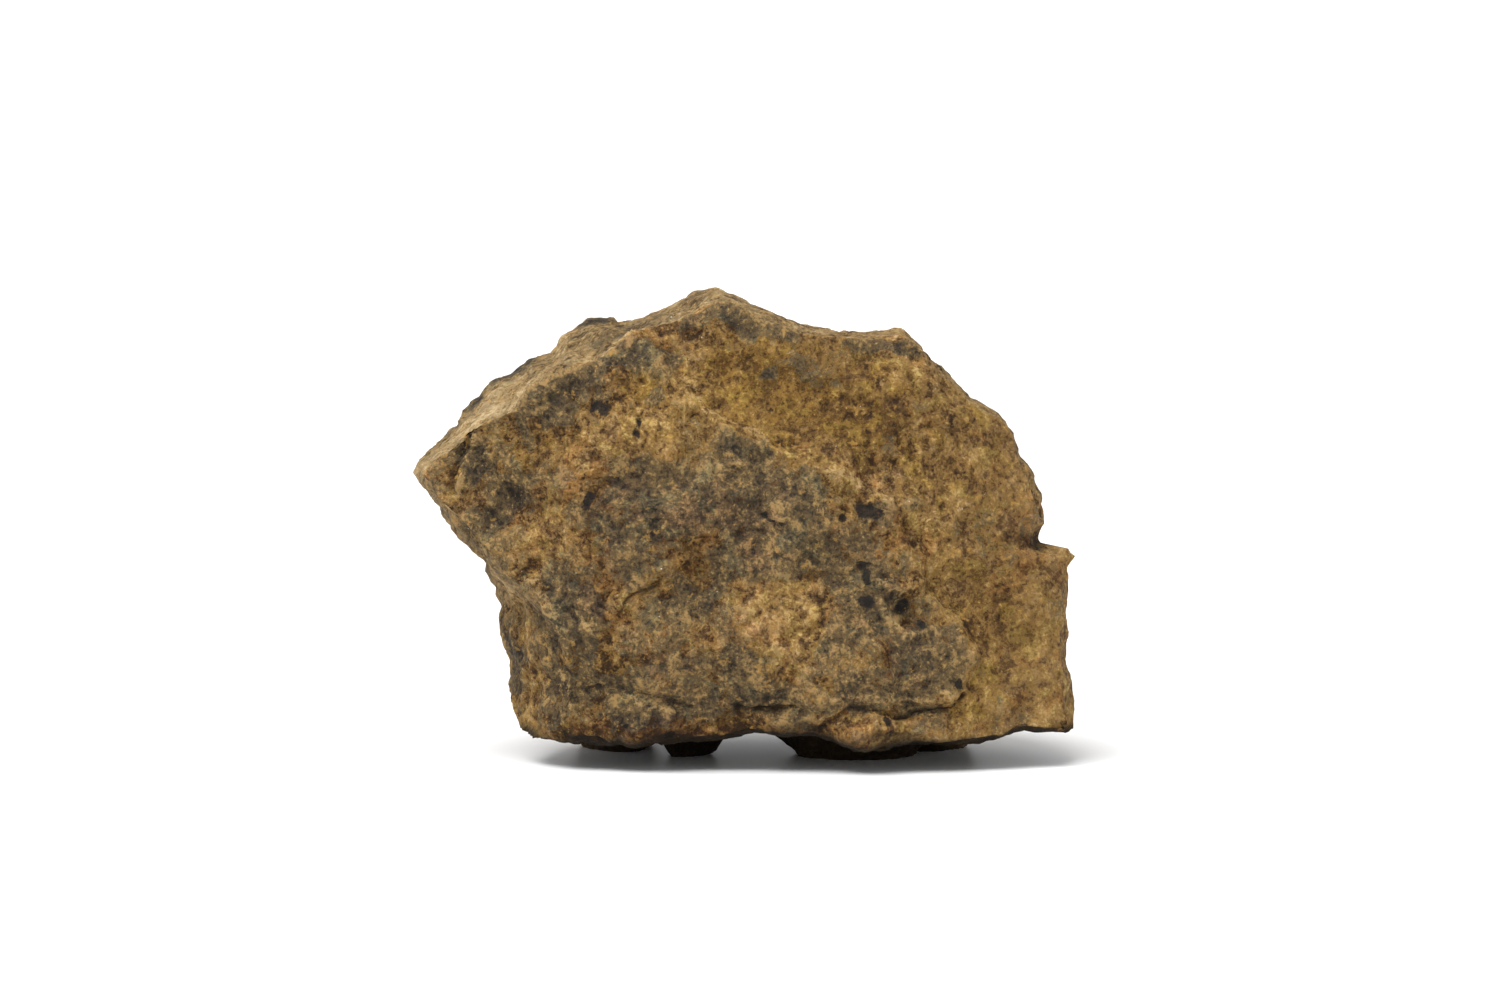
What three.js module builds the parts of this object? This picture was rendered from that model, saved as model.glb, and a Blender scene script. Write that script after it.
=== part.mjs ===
// Iron meteorite: one blocky individual, about 56 mm across, resting on four low feet.
// Millimetres, +Z up, +X to the right and +Y to the back as seen from its front.
// The form is a box-like skin drawn over three rings: the front edge, the rim (the
// outline seen from the front) and the back edge. Facets, ledges, hollows and ridges
// are then worked into that skin.
import * as THREE from 'three';
import { mergeVertices } from 'three/addons/utils/BufferGeometryUtils.js';

// Driving dimensions
const WIDTH = 56;
const GRID_DEPTH = 29;
const HEIGHT = 39.5;
const UNDERSIDE = 2.3;
const CELL = { across: 36, deep: 20, high: 30 };
const MIDDLE = { x: 0, z: 18 };
const FRONT_MIDDLE_Y = -14.4;
const BACK_MIDDLE_Y = 15.4;
const FRONT_FALL = 2.2;
const BACK_FALL = 2.6;
const LEAST_ROWS = 3;
const CALM_SPAN = 6;
const CALM_SAMPLES = 4;
const EDGE_TEETH_FROM = 0.86;
const TEETH_REACH = 0.85;
const PLATE_RISE = 0.75;
const PLATE_STEP = 1.7;
const PLATE_FADE = { from: -21, to: -9 };
const PLATE_LOW = { share: 0.45, from: 5, to: 10 };

// Where the four corners of the box grid go, as degrees around the middle
const CORNER_ANGLES = { lowerLeft: -137, lowerRight: -29.5, upperRight: 51, upperLeft: 136 };

// The rim, clockwise from the left tip, as [x, y, z]
const RIM = [
  // left tip and the back edge of the upper left shelf
  [-27.9, -2, 24.0], [-27.4, -1.5, 25.0], [-26.3, -0.5, 26.1], [-25.2, 1, 27.1],
  [-24.4, 1.5, 27.8], [-24.3, 2, 28.3], [-23.9, 2.5, 28.9], [-22.7, 3.5, 30.0],
  [-22.0, 4, 30.9], [-21.2, 4.5, 31.5], [-20.0, 5, 31.9], [-18.4, 5.5, 33.2],
  [-16.5, 4.5, 33.7], [-16.0, 5, 34.4], [-15.7, 5.5, 35.3], [-15.2, 6, 35.7],
  [-14.2, 6, 36.0], [-13.5, 6.5, 36.6], [-11.4, 6.5, 36.8], [-10.9, 5.5, 36.5],
  [-9.0, 4.5, 36.9], [-7.1, 3, 37.6], [-4.6, 0.5, 38.8], [-3.1, -1, 39.5],
  // peak, saddle and the corner of the right shoulder
  [-2.4, -1, 39.5], [-1.5, -1, 39.0], [-0.4, -0.5, 38.7], [0.6, -1, 38.2],
  [3.2, -1.5, 37.3], [4.9, -2.5, 36.5], [7.5, -3.5, 36.0], [9.4, -5.5, 35.7],
  [11.8, -4, 35.9], [13.0, -3.5, 35.9],
  // right shoulder down to the notch
  [13.9, -5, 35.1], [14.5, -5.5, 34.2], [16.4, -4, 32.6], [17.6, -3, 31.4],
  [18.9, -3, 30.1], [20.5, -3, 29.4], [21.4, -3.5, 29.0], [22.5, -5, 27.6],
  [22.9, -5, 26.0], [23.8, -5, 24.1], [24.6, -5, 22.5], [24.7, -5, 21.0],
  [25.1, -5, 19.9], [24.8, -5, 19.2], [24.6, -5, 18.1],
  // standing block on the right
  [25.6, -5, 18.0], [26.9, -6, 17.9], [27.5, -6, 17.2], [26.9, -6, 16.2],
  [26.9, -6, 14.4], [26.7, -6, 12.8], [26.9, -6, 11.0], [26.7, -6, 8.5],
  [27.1, -6, 6.2], [27.6, -7, 4.2], [27.6, -7, 2.8], [26.9, -7, 2.2],
  // lower edge, with the knob between x = 8 and x = 12
  [24.7, -9, 2.9], [22.8, -9.5, 3.0], [21.1, -10, 2.4], [19.2, -10, 2.1],
  [14.1, -9.5, 2.0], [11.5, -13, 2.0], [9.0, -13.5, 1.9], [7.2, -12.5, 2.6],
  [4.5, -12.5, 3.1], [0.4, -12.5, 3.2], [-1.6, -12, 2.5], [-5.4, -12, 2.3],
  [-8.8, -11.5, 2.1], [-13.2, -11, 2.1], [-15.7, -10.5, 2.4], [-17.5, -9, 2.3],
  // left flank and the undercut below the tip
  [-18.7, -7, 3.1], [-19.3, -6, 4.5], [-19.6, -5.5, 5.9], [-19.5, -5, 8.4],
  [-20.3, -4.5, 9.9], [-20.5, -4.5, 10.7], [-20.4, -4, 12.6], [-21.0, -3.5, 14.5],
  [-21.8, -3, 15.7], [-21.7, -3, 16.8], [-22.9, -2.5, 17.8], [-24.4, -2.5, 19.1],
  [-25.1, -2, 19.9], [-25.4, -2, 21.2], [-26.5, -2, 22.3],
];

// The front edge, clockwise from the left tip
const FRONT_EDGE = [
  // edge of the shelf, from the tip to the peak
  [-26.2, -9.5, 24.4], [-25.0, -10, 25.8], [-23.6, -10.5, 26.9], [-22.2, -11.5, 28.2],
  [-20.1, -12, 29.3], [-18.4, -12.5, 29.8], [-17.7, -12.5, 30.7], [-15.4, -12.5, 32.4],
  [-13.5, -12.3, 33.3], [-11.8, -12.2, 33.6], [-10.4, -11.5, 34.9], [-8.6, -11, 36.3],
  [-5.9, -10.3, 37.0], [-4.6, -10, 37.3], [-3.3, -9.8, 38.1], [-2.0, -9.6, 38.5],
  // edge of the saddle and the right shoulder
  [-0.8, -9.8, 38.0], [0.5, -10, 37.3], [2.4, -10.3, 36.5], [4.7, -10.2, 36.0],
  [8.0, -10, 35.8], [9.7, -9.5, 35.4], [13.0, -9, 35.6], [14.2, -8.7, 34.3],
  [15.7, -8.5, 32.6], [18.6, -7.5, 29.9], [21.2, -7, 28.7], [22.1, -7, 27.5],
  // right side, past the notch and down the block
  [22.4, -7.3, 25.9], [23.6, -7.7, 23.3], [24.1, -8.2, 21.1], [24.3, -8.4, 20.0],
  [23.9, -8.5, 18.3], [25.2, -8.3, 17.8], [26.6, -8.2, 17.5], [26.3, -8.5, 16.2],
  [26.0, -9, 12.7], [26.1, -9.2, 11.2], [26.0, -9.5, 9.3], [26.5, -9.7, 5.6],
  [26.8, -10, 3.6], [26.3, -10.2, 2.9],
  // lower edge
  [24.3, -11, 3.5], [22.4, -11.8, 3.6], [20.9, -12.3, 3.0], [16.8, -13, 2.8],
  [12.7, -13.5, 2.7], [9.5, -14.3, 2.4], [8.2, -14, 2.6], [7.3, -13.6, 3.2],
  [5.7, -13.5, 3.5], [0.4, -13.5, 3.6], [-1.9, -13.3, 3.0], [-7.8, -13, 2.8],
  [-13.9, -12.6, 3.0], [-15.0, -12.7, 3.9],
  // crease between the front and the left flank
  [-14.6, -13, 6.0], [-14.0, -13, 8.4], [-14.5, -13, 10.7], [-15.4, -13, 12.7],
  [-17.5, -12.8, 15.1], [-19.0, -12.5, 15.9], [-20.7, -12, 17.9], [-22.0, -11.5, 19.3],
  [-23.4, -11, 20.5], [-24.3, -10.5, 21.6], [-25.7, -9.5, 23.4],
];

// The back edge, clockwise as seen from the front, from the left
const BACK_EDGE = [
  [-23.0, 7.2, 22.5], [-21.0, 8.6, 27.2], [-17.2, 9.8, 31.0], [-11.5, 10.4, 33.6],
  [-5.5, 9.0, 35.6], [-1.5, 7.6, 35.9], [3.5, 8.2, 34.2], [8.0, 9.4, 32.4],
  [13.4, 9.0, 31.2], [17.0, 7.8, 28.4], [20.6, 7.4, 24.0], [21.6, 8.2, 19.0],
  [23.4, 8.6, 14.5], [24.2, 8.0, 9.0], [22.8, 7.4, 4.2], [17.5, 9.2, 2.4],
  [11.0, 10.6, 2.0], [3.5, 10.0, 2.2], [-4.0, 9.6, 2.6], [-11.0, 10.2, 2.0],
  [-15.6, 9.0, 3.2], [-17.4, 8.6, 8.0], [-18.4, 9.6, 13.0], [-20.6, 8.4, 17.6],
];

// Flat facets that chop the skin: a point on each and the direction it faces. Lumps may
// stand out of a facet by FACET_PLAY.
const FACET_PLAY = 0.3;
const FACETS = [
  { at: [7, 14.2, 14], faces: [0.26, 0.96, -0.04] },
  { at: [-8, 12.7, 20], faces: [-0.30, 0.94, 0.14] },
  { at: [-9, 11.9, 12], faces: [-0.32, 0.90, -0.28] },
  { at: [2, 11.4, 30], faces: [0.10, 0.80, 0.60] },
  { at: [-2, 12.4, 6.4], faces: [-0.08, 0.80, -0.58] },
  { at: [18.4, 9, 22], faces: [0.72, 0.66, 0.16] },
  { at: [22, 7, 4.6], faces: [0.62, 0.42, -0.66] },
  { at: [-16.4, 9, 8.6], faces: [-0.76, 0.58, -0.28] },
  { at: [-20.4, 7.6, 27], faces: [-0.55, 0.75, 0.37] },
  { at: [14, 8.2, 30], faces: [0.45, 0.62, 0.64] },
  { at: [17, 11, 9], faces: [0.55, 0.80, -0.22] },
];

// Edge of the raised plate on the front, as [x, z]; it runs off the front on the left
const PLATE = [
  [-32, 33], [-10, 38], [-7.6, 34.7], [-6.6, 33.8], [-5.4, 32.2],
  [-4.0, 30.6], [-2.3, 29.5], [-0.6, 28.4], [1.8, 27.3], [4.5, 26.0], [7.2, 25.1],
  [8.8, 23.8], [11.7, 22.4], [13.0, 19.9], [13.9, 17.5], [15.1, 15.0], [17.5, 13.0],
  [18.8, 10.1], [18.3, 7.7], [17.1, 6.2], [14.5, 5.6], [9.2, 6.2], [6.5, 5.6],
  [3.9, 5.3], [0.5, 5.2], [-1.6, 4.8], [-5, 3.4], [-10, 2.4], [-24, 1], [-32, 16],
];

// Swells (positive) and hollows (negative): where on that side, half sizes, turn in
// degrees and height. Front and back are placed by [x, z], top and under by [x, y],
// left and right by [y, z].
const SWELLS = [
  // golden dish and the low places around it
  { side: 'front', at: [5, 31], size: [11, 5.2], turn: -14, height: -1.0 },
  { side: 'front', at: [-3.6, 34.4], size: [4.4, 2.6], turn: -30, height: -0.6 },
  { side: 'front', at: [15.5, 24.5], size: [6, 5], turn: -40, height: -0.5 },
  { side: 'front', at: [21.5, 12], size: [3.2, 7], turn: 6, height: -0.45 },
  // broad rises and hollows of the plate
  { side: 'front', at: [-13.5, 27.5], size: [6, 4.5], turn: 35, height: 0.55 },
  { side: 'front', at: [-8.5, 24], size: [4.4, 3.2], turn: 10, height: -0.5 },
  { side: 'front', at: [-1, 22.5], size: [6, 3.4], turn: -12, height: 0.45 },
  { side: 'front', at: [-6.5, 15.5], size: [6.2, 4.6], turn: 30, height: -0.6 },
  { side: 'front', at: [0.5, 12], size: [5.2, 4.6], turn: 0, height: 0.5 },
  { side: 'front', at: [6.4, 17.5], size: [4, 3.4], turn: -20, height: -0.4 },
  { side: 'front', at: [-11, 9.4], size: [3.4, 2.4], turn: 0, height: 0.4 },
  { side: 'front', at: [-18.8, 21.8], size: [3.6, 2.6], turn: -35, height: -0.5 },
  // rimmed oval hollow near the shoulder of the plate
  { side: 'front', at: [13.0, 13.2], size: [1.9, 2.1], turn: 30, height: -0.5 },
  // knob at the lower edge and the ledge beside it
  { side: 'front', at: [10.6, 3.7], size: [4.6, 2.2], turn: 4, height: 0.6 },
  { side: 'front', at: [3, 4.4], size: [5.4, 1.0], turn: 0, height: 0.3 },
  // notch above the standing block
  { side: 'right', at: [-7, 18.8], size: [3.8, 1.6], turn: 0, height: -0.9 },
  // lumps low on the left flank and the hollow above them
  { side: 'left', at: [-7.5, 7.4], size: [2.2, 2.6], turn: 0, height: 0.5 },
  { side: 'left', at: [-8, 12.6], size: [2.8, 2.6], turn: 0, height: -0.45 },
  { side: 'left', at: [4, 12], size: [4, 5], turn: 20, height: -0.8 },
  { side: 'left', at: [3, 22], size: [4, 2.6], turn: 10, height: -0.5 },
  // shelf and saddle on top
  { side: 'top', at: [-19, -3], size: [3.6, 5], turn: 25, height: -0.7 },
  { side: 'top', at: [-12.5, -2], size: [2.2, 6], turn: 18, height: 0.45 },
  { side: 'top', at: [-8.6, -4.5], size: [2.6, 5.2], turn: 12, height: -0.6 },
  { side: 'top', at: [4, 1.5], size: [4.6, 5], turn: 0, height: -0.9 },
  { side: 'top', at: [11.4, 2.5], size: [3, 5], turn: 0, height: 0.5 },
  { side: 'right', at: [1.6, 26], size: [4.4, 3.8], turn: -30, height: -0.8 },
  { side: 'right', at: [2, 11], size: [4.6, 4.6], turn: 10, height: -0.9 },
  // thumbprints on the back
  { side: 'back', at: [-12, 25.5], size: [4.6, 3.6], turn: 20, height: -0.8 },
  { side: 'back', at: [-2.4, 21.5], size: [4.2, 4.8], turn: -10, height: -0.9 },
  { side: 'back', at: [9.6, 24.6], size: [5.4, 4.0], turn: -24, height: -0.9 },
  { side: 'back', at: [15.4, 14.5], size: [4.0, 5.2], turn: 10, height: -1.0 },
  { side: 'back', at: [5.4, 11.6], size: [4.8, 3.8], turn: 0, height: -0.9 },
  { side: 'back', at: [-9.4, 10.4], size: [4.4, 3.0], turn: -16, height: -0.8 },
  { side: 'back', at: [-2.0, 5.6], size: [4.6, 2.0], turn: 4, height: -0.7 },
  { side: 'back', at: [2.5, 30.4], size: [3.6, 2.2], turn: 0, height: -0.7 },
  // hollows underneath
  { side: 'under', at: [2.4, 4.6], size: [5, 4], turn: 0, height: -0.9 },
  { side: 'under', at: [17.5, -5], size: [4, 3], turn: 0, height: -0.6 },
  { side: 'under', at: [-9.5, -5.5], size: [5, 3], turn: 0, height: -0.6 },
];

// Grooves (negative) and raised lines (positive), as a route on a side
const LINES = [
  // crack under the plate, and the groove over the knob
  { side: 'front', route: [[-1.4, 5.2], [3.9, 5.0], [6.4, 4.8]], width: 1.0, height: -0.3 },
  { side: 'front', route: [[8.8, 5.6], [10.8, 5.0], [14.2, 4.9], [18.4, 6.2]], width: 1.1, height: -0.3 },
  // crease down the left of the plate, beside the tip
  { side: 'front', route: [[-22.6, 27.6], [-23.2, 25.2], [-24.0, 23.0]], width: 1.3, height: -0.25 },
  // lit ridges on the plate
  { side: 'front', route: [[-3.3, 25.0], [-0.4, 25.4]], width: 0.9, height: 0.25 },
  { side: 'front', route: [[1.8, 27.3], [7.2, 25.1], [11.7, 22.4]], width: 1.3, height: 0.3 },
  { side: 'front', route: [[-10.4, 13.6], [-7.8, 16.4], [-4.6, 17.6]], width: 1.2, height: 0.3 },
  // ridges between the thumbprints on the back
  { side: 'back', route: [[-6.6, 28], [-7.6, 21], [-5, 15.6], [-2.4, 9]], width: 1.8, height: 0.45 },
  { side: 'back', route: [[2.2, 27], [4.6, 19], [10.2, 17.4]], width: 1.8, height: 0.45 },
];

// Low feet underneath: centre [x, y], half sizes and how far they reach down. Each is
// flat out to about its half sizes and has run out at FOOT_SPREAD times that.
const FOOT_SPREAD = 2.1;
const FOOT_FLAT = 0.8;
const FOOT_RAGGED = { across: 3.2, height: 0.35, seed: 59 };
const FEET = [
  { at: [9.0, -1.4], size: [3.8, 3.5], reach: 2.8 },
  { at: [-4.4, -1.2], size: [1.9, 1.9], reach: 2.8 },
  { at: [-10.8, 4.8], size: [2.4, 3.3], reach: 3.0 },
  { at: [15.8, 4.4], size: [2.0, 3.4], reach: 2.8 },
];

// Uneven lumps all over: size of one lump and its height
const LUMPS = [
  { across: 7.5, height: 0.75, seed: 11 },
  { across: 3.4, height: 0.5, seed: 23 },
  { across: 1.9, height: 0.2, seed: 37 },
];
const RIM_LUMP_SHARE = 0.3;
const RIM_REACH = 2.2;

// A side counts from the first of these shares of facing it, and fully from the second
const FACING_FROM = 0.15;
const FACING_FULL = 0.6;

// Odd factors and shifts that scramble the number of a lattice corner
const SCRAMBLE = {
  i: 374761393, j: 668265263, k: 1274126177, seed: 461845907, first: 1103515245, second: 1597334677,
};
const SHIFTS = [13, 15, 16];
const WHOLE_RANGE = 2 ** 32;

const smooth = (low, high, value) => THREE.MathUtils.smoothstep(value, low, high);

// A ring as corners in polar order around the middle, ready to be cut by a ray
function ringOf(corners) {
  const list = corners.map(([x, y, z]) => {
    const dx = x - MIDDLE.x;
    const dz = z - MIDDLE.z;
    return { dx, dz, y, angle: Math.atan2(dz, dx) };
  });
  return list.sort((a, b) => a.angle - b.angle);
}

// Where the ray at this angle crosses the ring: how far out, and how deep it lies
function ringAt(ring, angle) {
  let after = ring.findIndex((corner) => corner.angle > angle);
  if (after < 0) after = 0;
  const from = ring[(after + ring.length - 1) % ring.length];
  const to = ring[after];
  const ux = Math.cos(angle);
  const uz = Math.sin(angle);
  const ex = to.dx - from.dx;
  const ez = to.dz - from.dz;
  const radius = (from.dx * to.dz - from.dz * to.dx) / (ux * ez - uz * ex);
  const along = ((radius * ux - from.dx) * ex + (radius * uz - from.dz) * ez) / (ex * ex + ez * ez);
  return { radius, y: from.y + (to.y - from.y) * along };
}

// The same ring without its teeth: the mean of what lies a few degrees either way
function calmAt(ring, angle) {
  const calm = { radius: 0, y: 0 };
  for (let step = -CALM_SAMPLES; step <= CALM_SAMPLES; step += 1) {
    const near = angle + THREE.MathUtils.degToRad((CALM_SPAN * step) / CALM_SAMPLES);
    const found = ringAt(ring, Math.atan2(Math.sin(near), Math.cos(near)));
    calm.radius += found.radius / (2 * CALM_SAMPLES + 1);
    calm.y += found.y / (2 * CALM_SAMPLES + 1);
  }
  return calm;
}

function placeAt(angle, radius, y) {
  return new THREE.Vector3(MIDDLE.x + Math.cos(angle) * radius, y, MIDDLE.z + Math.sin(angle) * radius);
}

const rim = ringOf(RIM);
const frontEdge = ringOf(FRONT_EDGE);
const backEdge = ringOf(BACK_EDGE);

// Front and back: the calm ring drawn in towards the middle with a rounded fall, and
// the teeth of the edge only near the edge
function drawEnd(ring, angle, share, middleY, fall) {
  const edge = ringAt(ring, angle);
  const calm = calmAt(ring, angle);
  const teeth = smooth(EDGE_TEETH_FROM, 1, share);
  const radius = share * (calm.radius + (edge.radius - calm.radius) * teeth);
  const y = middleY + (calm.y - middleY) * Math.pow(share, fall) + (edge.y - calm.y) * teeth;
  return placeAt(angle, radius, y);
}

// A stretch of the belt from one ring to the next; each ring's teeth die out on the way
function drawStretch(fromRing, toRing, angle, share) {
  const from = ringAt(fromRing, angle);
  const to = ringAt(toRing, angle);
  const calmFrom = calmAt(fromRing, angle);
  const calmTo = calmAt(toRing, angle);
  const leaving = 1 - smooth(0, TEETH_REACH, share);
  const reaching = smooth(1 - TEETH_REACH, 1, share);
  const blend = (key) => calmFrom[key] * (1 - share) + calmTo[key] * share
    + (from[key] - calmFrom[key]) * leaving + (to[key] - calmTo[key]) * reaching;
  return placeAt(angle, blend('radius'), blend('y'));
}

// The belt between front and back, with a row of corners kept on the rim
function drawBelt(angle, row) {
  const front = ringAt(frontEdge, angle);
  const middle = ringAt(rim, angle);
  const back = ringAt(backEdge, angle);
  const bevel = Math.hypot(middle.radius - front.radius, middle.y - front.y);
  const flank = Math.hypot(back.radius - middle.radius, back.y - middle.y);
  const wanted = Math.round((CELL.deep * bevel) / (bevel + flank));
  const rimRow = THREE.MathUtils.clamp(wanted, LEAST_ROWS, CELL.deep - LEAST_ROWS);
  if (row <= rimRow) return drawStretch(frontEdge, rim, angle, row / rimRow);
  return drawStretch(rim, backEdge, angle, (row - rimRow) / (CELL.deep - rimRow));
}

// The box grid seen from the middle: its reach each way and the angles of its corners
const REACH = { side: WIDTH / 2, up: HEIGHT - MIDDLE.z, down: MIDDLE.z - UNDERSIDE };
const BOX_TURNS = [
  [-Math.PI + Math.atan2(REACH.down, REACH.side), CORNER_ANGLES.lowerLeft],
  [-Math.atan2(REACH.down, REACH.side), CORNER_ANGLES.lowerRight],
  [Math.atan2(REACH.up, REACH.side), CORNER_ANGLES.upperRight],
  [Math.PI - Math.atan2(REACH.up, REACH.side), CORNER_ANGLES.upperLeft],
  [Math.PI + Math.atan2(REACH.down, REACH.side), CORNER_ANGLES.lowerLeft + 360],
];

// Turns an angle on the box into one on the stone, so that the corners meet
function turnOnStone(boxAngle) {
  const angle = boxAngle < BOX_TURNS[0][0] ? boxAngle + 2 * Math.PI : boxAngle;
  const next = Math.max(1, BOX_TURNS.findIndex(([edge]) => angle < edge));
  const [fromBox, fromStone] = BOX_TURNS[next - 1];
  const [toBox, toStone] = BOX_TURNS[next];
  const turned = THREE.MathUtils.mapLinear(angle, fromBox, toBox, fromStone, toStone);
  const radians = THREE.MathUtils.degToRad(turned);
  return Math.atan2(Math.sin(radians), Math.cos(radians));
}

// One corner of the box grid, laid on the skin
function drawSkin(corner) {
  const up = corner.z + (HEIGHT + UNDERSIDE) / 2 - MIDDLE.z;
  const share = Math.max(Math.abs(corner.x) / REACH.side, up / REACH.up, -up / REACH.down);
  const angle = turnOnStone(Math.atan2(up, corner.x));
  const row = Math.round(((corner.y + GRID_DEPTH / 2) / GRID_DEPTH) * CELL.deep);
  if (row === 0) return drawEnd(frontEdge, angle, share, FRONT_MIDDLE_Y, FRONT_FALL);
  if (row === CELL.deep) return drawEnd(backEdge, angle, share, BACK_MIDDLE_Y, BACK_FALL);
  return drawBelt(angle, row);
}

// Draws a point in along its ray to the middle until it stands out of no facet by more
// than the play
function chop(point, play) {
  const heart = new THREE.Vector3(MIDDLE.x, 0, MIDDLE.z);
  const ray = point.clone().sub(heart);
  let share = 1;
  for (const { at, faces } of FACETS) {
    const normal = new THREE.Vector3(...faces).normalize();
    const room = normal.dot(new THREE.Vector3(...at).sub(heart)) + play;
    const reach = normal.dot(ray);
    if (reach > room) share = Math.min(share, room / reach);
  }
  return heart.addScaledVector(ray, share);
}

// How much a place faces a side, and where it lies on that side
const SIDES = {
  front: { facing: (n) => -n.y, place: (p) => [p.x, p.z] },
  back: { facing: (n) => n.y, place: (p) => [p.x, p.z] },
  top: { facing: (n) => n.z, place: (p) => [p.x, p.y] },
  under: { facing: (n) => -n.z, place: (p) => [p.x, p.y] },
  left: { facing: (n) => -n.x, place: (p) => [p.y, p.z] },
  right: { facing: (n) => n.x, place: (p) => [p.y, p.z] },
};

function facing(side, normal) {
  return smooth(FACING_FROM, FACING_FULL, SIDES[side].facing(normal));
}

// 1 in the middle of an oval, falling to 0 at its edge
function oval(place, at, size, turn) {
  const angle = THREE.MathUtils.degToRad(turn);
  const dx = place[0] - at[0];
  const dz = place[1] - at[1];
  const u = (dx * Math.cos(angle) + dz * Math.sin(angle)) / size[0];
  const v = (dz * Math.cos(angle) - dx * Math.sin(angle)) / size[1];
  return 1 - smooth(0, 1, Math.hypot(u, v));
}

function distanceToStretch(place, from, to) {
  const ex = to[0] - from[0];
  const ez = to[1] - from[1];
  const dx = place[0] - from[0];
  const dz = place[1] - from[1];
  const along = THREE.MathUtils.clamp((dx * ex + dz * ez) / (ex * ex + ez * ez), 0, 1);
  return Math.hypot(dx - along * ex, dz - along * ez);
}

function distanceToRoute(place, route) {
  let nearest = Infinity;
  for (let i = 1; i < route.length; i += 1) {
    nearest = Math.min(nearest, distanceToStretch(place, route[i - 1], route[i]));
  }
  return nearest;
}

// How far inside the plate's edge a place lies; negative outside
function insidePlate(place) {
  let inside = false;
  for (let i = 0; i < PLATE.length; i += 1) {
    const a = PLATE[i];
    const b = PLATE[(i + 1) % PLATE.length];
    const spans = a[1] > place[1] !== b[1] > place[1];
    const crossing = a[0] + ((b[0] - a[0]) * (place[1] - a[1])) / (b[1] - a[1]);
    if (spans && place[0] < crossing) inside = !inside;
  }
  const distance = distanceToRoute(place, [...PLATE, PLATE[0]]);
  return inside ? distance : -distance;
}

// A number from 0 to 1 that belongs to one corner of a lattice
function cornerValue(i, j, k, seed) {
  let bits = Math.imul(i, SCRAMBLE.i) ^ Math.imul(j, SCRAMBLE.j);
  bits ^= Math.imul(k, SCRAMBLE.k) ^ Math.imul(seed, SCRAMBLE.seed);
  bits = Math.imul(bits ^ (bits >>> SHIFTS[0]), SCRAMBLE.first);
  bits = Math.imul(bits ^ (bits >>> SHIFTS[1]), SCRAMBLE.second);
  return ((bits ^ (bits >>> SHIFTS[2])) >>> 0) / WHOLE_RANGE;
}

// Uneven lumps, from -1 to 1
function unevenness(point, across, seed) {
  const cell = [point.x, point.y, point.z].map((value) => Math.floor(value / across));
  const part = [point.x, point.y, point.z].map((value, axis) => {
    const rest = value / across - cell[axis];
    return rest * rest * (3 - 2 * rest);
  });
  let sum = 0;
  for (let corner = 0; corner < 8; corner += 1) {
    const step = [corner & 1, (corner >> 1) & 1, (corner >> 2) & 1];
    const weight = step.reduce((product, on, axis) => product * (on ? part[axis] : 1 - part[axis]), 1);
    sum += weight * cornerValue(cell[0] + step[0], cell[1] + step[1], cell[2] + step[2], seed);
  }
  return 2 * sum - 1;
}

// Distance from the rim line as seen from the front
function distanceToRim(point) {
  const dx = point.x - MIDDLE.x;
  const dz = point.z - MIDDLE.z;
  return Math.abs(ringAt(rim, Math.atan2(dz, dx)).radius - Math.hypot(dx, dz));
}

// Height of the raised plate, which fades out towards the left and is lower at the bottom
function plateHeight(point) {
  const stepped = smooth(-PLATE_STEP / 2, PLATE_STEP / 2, insidePlate([point.x, point.z]));
  const upper = smooth(PLATE_LOW.from, PLATE_LOW.to, point.z);
  const share = PLATE_LOW.share + (1 - PLATE_LOW.share) * upper;
  return PLATE_RISE * share * stepped * smooth(PLATE_FADE.from, PLATE_FADE.to, point.x);
}

// How far a foot reaches down here
function footHeight(point, foot) {
  const away = Math.hypot((point.x - foot.at[0]) / foot.size[0], (point.y - foot.at[1]) / foot.size[1]);
  const ragged = FOOT_RAGGED.height * unevenness(point, FOOT_RAGGED.across, FOOT_RAGGED.seed);
  return foot.reach * (1 - smooth(FOOT_FLAT, FOOT_SPREAD, away + ragged));
}

// Height of everything worked into the skin, along its outward direction
function relief(point, normal) {
  let height = facing('front', normal) * plateHeight(point);
  for (const swell of SWELLS) {
    const place = SIDES[swell.side].place(point);
    height += swell.height * facing(swell.side, normal) * oval(place, swell.at, swell.size, swell.turn);
  }
  for (const line of LINES) {
    const distance = distanceToRoute(SIDES[line.side].place(point), line.route);
    height += line.height * facing(line.side, normal) * (1 - smooth(0, line.width, distance));
  }
  const reaches = FEET.map((foot) => footHeight(point, foot));
  height += facing('under', normal) * Math.max(...reaches);
  const calm = RIM_LUMP_SHARE + (1 - RIM_LUMP_SHARE) * smooth(0, RIM_REACH, distanceToRim(point));
  for (const lump of LUMPS) {
    height += calm * lump.height * unevenness(point, lump.across, lump.seed);
  }
  return height;
}

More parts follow.
